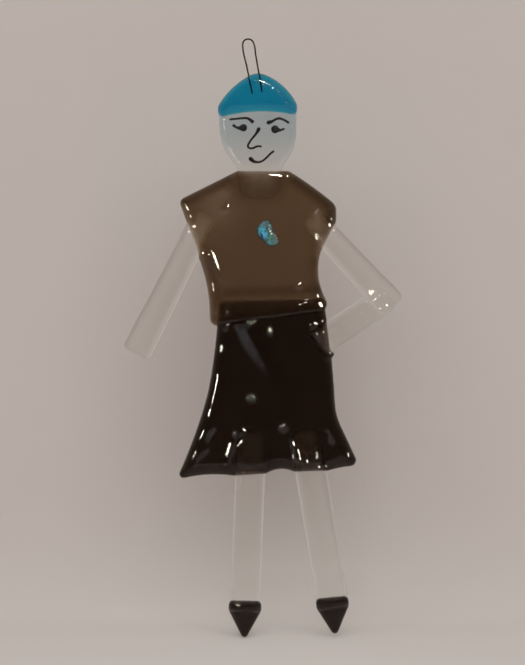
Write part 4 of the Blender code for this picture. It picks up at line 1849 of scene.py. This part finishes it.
@dataclass(frozen=True)
class Lamp:
    """A flat studio lamp that faces the figure.

    Attributes:
        name: what it does.
        place: where it stands, in metres.
        size: width and height in metres.
        power: watts.
    """

    name: str
    place: tuple[float, float, float]
    size: Spot
    power: float

    def build(self, target: Vector) -> None:
        """Hang the lamp, out of sight of polished surfaces.

        Args:
            target: point that it faces.
        """
        bpy.ops.object.light_add(type="AREA", location=self.place)
        item = bpy.context.active_object
        item.name = self.name
        item.rotation_mode = "QUATERNION"
        item.rotation_quaternion = (target - Vector(self.place)).to_track_quat("-Z", "Y")
        item.data.shape = "RECTANGLE"
        item.data.size, item.data.size_y = self.size
        item.data.energy = self.power
        item.visible_glossy = False
        item.visible_transmission = False


@dataclass(frozen=True)
class Glow:
    """A bright place in the room that shows only as a glint in polished surfaces.

    Attributes:
        way: direction in which it lies.
        size: half its width and half its height, as lengths at unit distance.
        strength: brightness.
        core: share of the size that is fully bright.
        colour: sRGB hex colour.
    """

    way: tuple[float, float, float]
    size: Spot
    strength: float
    core: float = 0.8
    colour: str = "#fff4dc"

    def add(self, tree: Tree, way: Socket, mirrored: Socket) -> Socket:
        """Add the glow's nodes.

        Args:
            tree: the room's nodes.
            way: direction that is looked in.
            mirrored: one for a look that a surface has mirrored.

        Returns:
            The glow's light.
        """
        middle = Vector(self.way).normalized()
        scale = (1 / self.size[0], 2.0, 1 / self.size[1])
        shape = soft_spot(tree, way, middle, scale, (self.core, 1.0), (self.strength, 0.0))
        seen = add_node(tree, "Math", {0: shape, 1: mirrored}, operation="MULTIPLY")["Value"]
        inputs = {"Color": linear(self.colour), "Strength": seen}
        return add_node(tree, "Background", inputs)["Background"]


@dataclass
class Studio:
    """Pale floor that sweeps up behind the figure, soft lamps and the camera.

    Attributes:
        floor_z: height of the floor.
        wall_y: where the back stands.
        sweep: size of the rounded fold between them.
        width: width of the board.
        view_height: what the camera sees at the figure.
        centre: x and z that it looks at.
        distance: how far off it stands.
        sensor: its sensor in mm.
        room_light: colour of the room all round.
        dim_light: colour of the room behind the camera.
        dim_angles: how far from there the room is pale, and how near it is dim, in degrees.
        bounces: how often light may pass through glass.
        lamps: soft lamps.
        glows: what glints.
    """

    floor_z: float = -251.6 * MM
    wall_y: float = 95 * MM
    sweep: float = 55 * MM
    width: float = 2.4
    view_height: float = 279.3 * MM
    centre: Spot = (6.38 * MM, -122.9 * MM)
    distance: float = 0.9
    sensor: float = 36.0
    room_light: str = "#aaa7a4"
    dim_light: str = "#5b4b3c"
    dim_angles: Spot = (80, 32)
    bounces: int = 20
    lamps: tuple[Lamp, ...] = (
        Lamp("key_softbox", (0.3, -1.5, 0.4), (1.5, 1.5), 10.1),
        Lamp("fill_softbox", (-0.45, -1.5, 0.12), (1.5, 1.5), 7.2),
    )
    glows: tuple[Glow, ...] = (
        Glow((0.1, -0.9, 0.42), (0.08, 0.07), 90.0),
        Glow((0.4, -0.88, 0.2), (0.05, 0.04), 90.0),
        Glow((-0.36, -0.93, 0.047), (0.05, 0.013), 90.0),
        Glow((-0.36, -0.93, -0.04), (0.05, 0.014), 80.0),
        Glow((-0.34, -0.93, -0.115), (0.05, 0.018), 80.0),
        Glow((-0.178, -0.978, -0.105), (0.14, 0.11), 0.65, 0.2, "#f4f2ff"),
    )

    def build_sweep(self) -> None:
        """Model floor and back as one board with a rounded fold."""
        bpy.ops.object.select_all(action="DESELECT")
        bpy.ops.mesh.primitive_plane_add(size=self.width, location=(0.0, 0.0, self.floor_z))
        item = bpy.context.active_object
        item.name = "studio_board"
        bpy.ops.object.transform_apply(location=True, rotation=True, scale=True)
        bpy.ops.object.mode_set(mode="EDIT")
        bpy.ops.mesh.select_mode(type="EDGE")
        # the plane's rear edge comes forward to the back's place and is drawn up
        pick(item, lambda vert: vert.co.y > 0.4 * self.width, Part.EDGES)
        bpy.ops.transform.translate(value=(0.0, self.wall_y - self.width / 2, 0.0))
        rise = {"value": (0.0, 0.0, self.width / 2)}
        bpy.ops.mesh.extrude_region_move(TRANSFORM_OT_translate=rise)
        fold_y, fold_z = self.wall_y - MM, self.floor_z + MM
        pick(item, lambda vert: vert.co.y > fold_y and vert.co.z < fold_z, Part.EDGES)
        bpy.ops.mesh.bevel(offset=self.sweep, segments=24, affect="EDGES")
        shape = bmesh.from_edit_mesh(item.data)
        shape.normal_update()
        if any(face.normal.z < -0.1 or face.normal.y > 0.1 for face in shape.faces):
            bpy.ops.mesh.select_all(action="SELECT")
            bpy.ops.mesh.flip_normals()
        bpy.ops.object.mode_set(mode="OBJECT")
        bpy.ops.object.shade_smooth()
        item.data.materials.append(STUDIO_BOARD.material())

    def build_lights(self) -> None:
        """Hang the lamps and light the room, pale all round and dim behind the camera."""
        target = Vector((self.centre[0], 0.0, self.centre[1]))
        for lamp in self.lamps:
            lamp.build(target)
        world = bpy.data.worlds.new("studio_room")
        world.use_nodes = True
        world.node_tree.nodes.clear()
        tree = world.node_tree
        way = add_node(tree, "TexCoord")["Generated"]
        ahead = add_node(
            tree, "VectorMath", {0: way, 1: (0.0, -1.0, 0.0)}, operation="DOT_PRODUCT"
        )["Value"]
        pale, dim = (math.cos(math.radians(angle)) for angle in self.dim_angles)
        share = add_node(
            tree,
            "MapRange",
            {"Value": ahead, "From Min": pale, "From Max": dim},
            interpolation_type="SMOOTHSTEP",
        )["Result"]
        colours = {6: linear(self.room_light), 7: linear(self.dim_light)}
        light = add_node(tree, "Mix", {"Factor": share, **colours}, data_type="RGBA")[2]
        total = add_node(tree, "Background", {"Color": light})["Background"]
        path = add_node(tree, "LightPath")
        glints = {0: path["Is Glossy Ray"], 1: path["Is Reflection Ray"]}
        mirrored = add_node(tree, "Math", glints, operation="MULTIPLY")["Value"]
        for glow in self.glows:
            both = {0: total, 1: glow.add(tree, way, mirrored)}
            total = add_node(tree, "AddShader", both)["Shader"]
        add_node(tree, "OutputWorld", {"Surface": total})
        bpy.context.scene.world = world

    def build_camera(self) -> None:
        """Set up the camera square to the figure's front."""
        bpy.ops.object.camera_add(
            location=(self.centre[0], -self.distance, self.centre[1]),
            rotation=(math.pi / 2, 0.0, 0.0),
        )
        camera = bpy.context.active_object
        camera.name = "front_camera"
        camera.data.sensor_width = self.sensor
        camera.data.lens = self.sensor * self.distance / self.view_height
        camera.data.clip_start = 0.05
        camera.data.clip_end = 20.0
        scene = bpy.context.scene
        scene.camera = camera
        scene.view_settings.view_transform = "Standard"
        scene.cycles.max_bounces = self.bounces
        scene.cycles.transmission_bounces = self.bounces
        scene.cycles.transparent_max_bounces = self.bounces


# the figure


def main() -> None:
    """Build the studio, then every piece of the figure from the shelf upwards."""
    logging.basicConfig(level=logging.INFO, format="%(name)s %(message)s")
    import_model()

    studio = Studio()
    studio.build_camera()
    studio.build_sweep()
    studio.build_lights()

    head, arms, legs, skirt, bodice = Head(), Arms(), Legs(), Skirt(), Bodice()
    head.build_blank()
    arms.build()
    legs.build()
    skirt.build(legs, arms.forearm)
    bodice.build(head.pane, arms, skirt.pane)
    head.build_cap()
    head.build_loop(BROWNED_WIRE.material())

    panes = [
        head.pane,
        head.cap,
        arms.straight,
        arms.forearm,
        arms.upper,
        legs.left.strip,
        legs.right.strip,
        legs.left.shoe,
        legs.right.shoe,
        skirt.pane,
        bodice.pane,
        bodice.brooch,
    ]
    for pane in panes:
        pane.mark_melt()
    materials: dict[str, bpy.types.Material] = {}
    for pane in panes:
        if pane.finish.name not in materials:
            materials[pane.finish.name] = pane.finish.material()
        pane.clear_form()
        pane.dress(materials[pane.finish.name])
    head.build_face(BLACK_ENAMEL.material())

    bpy.ops.object.select_all(action="DESELECT")


if __name__ == "__main__":
    main()
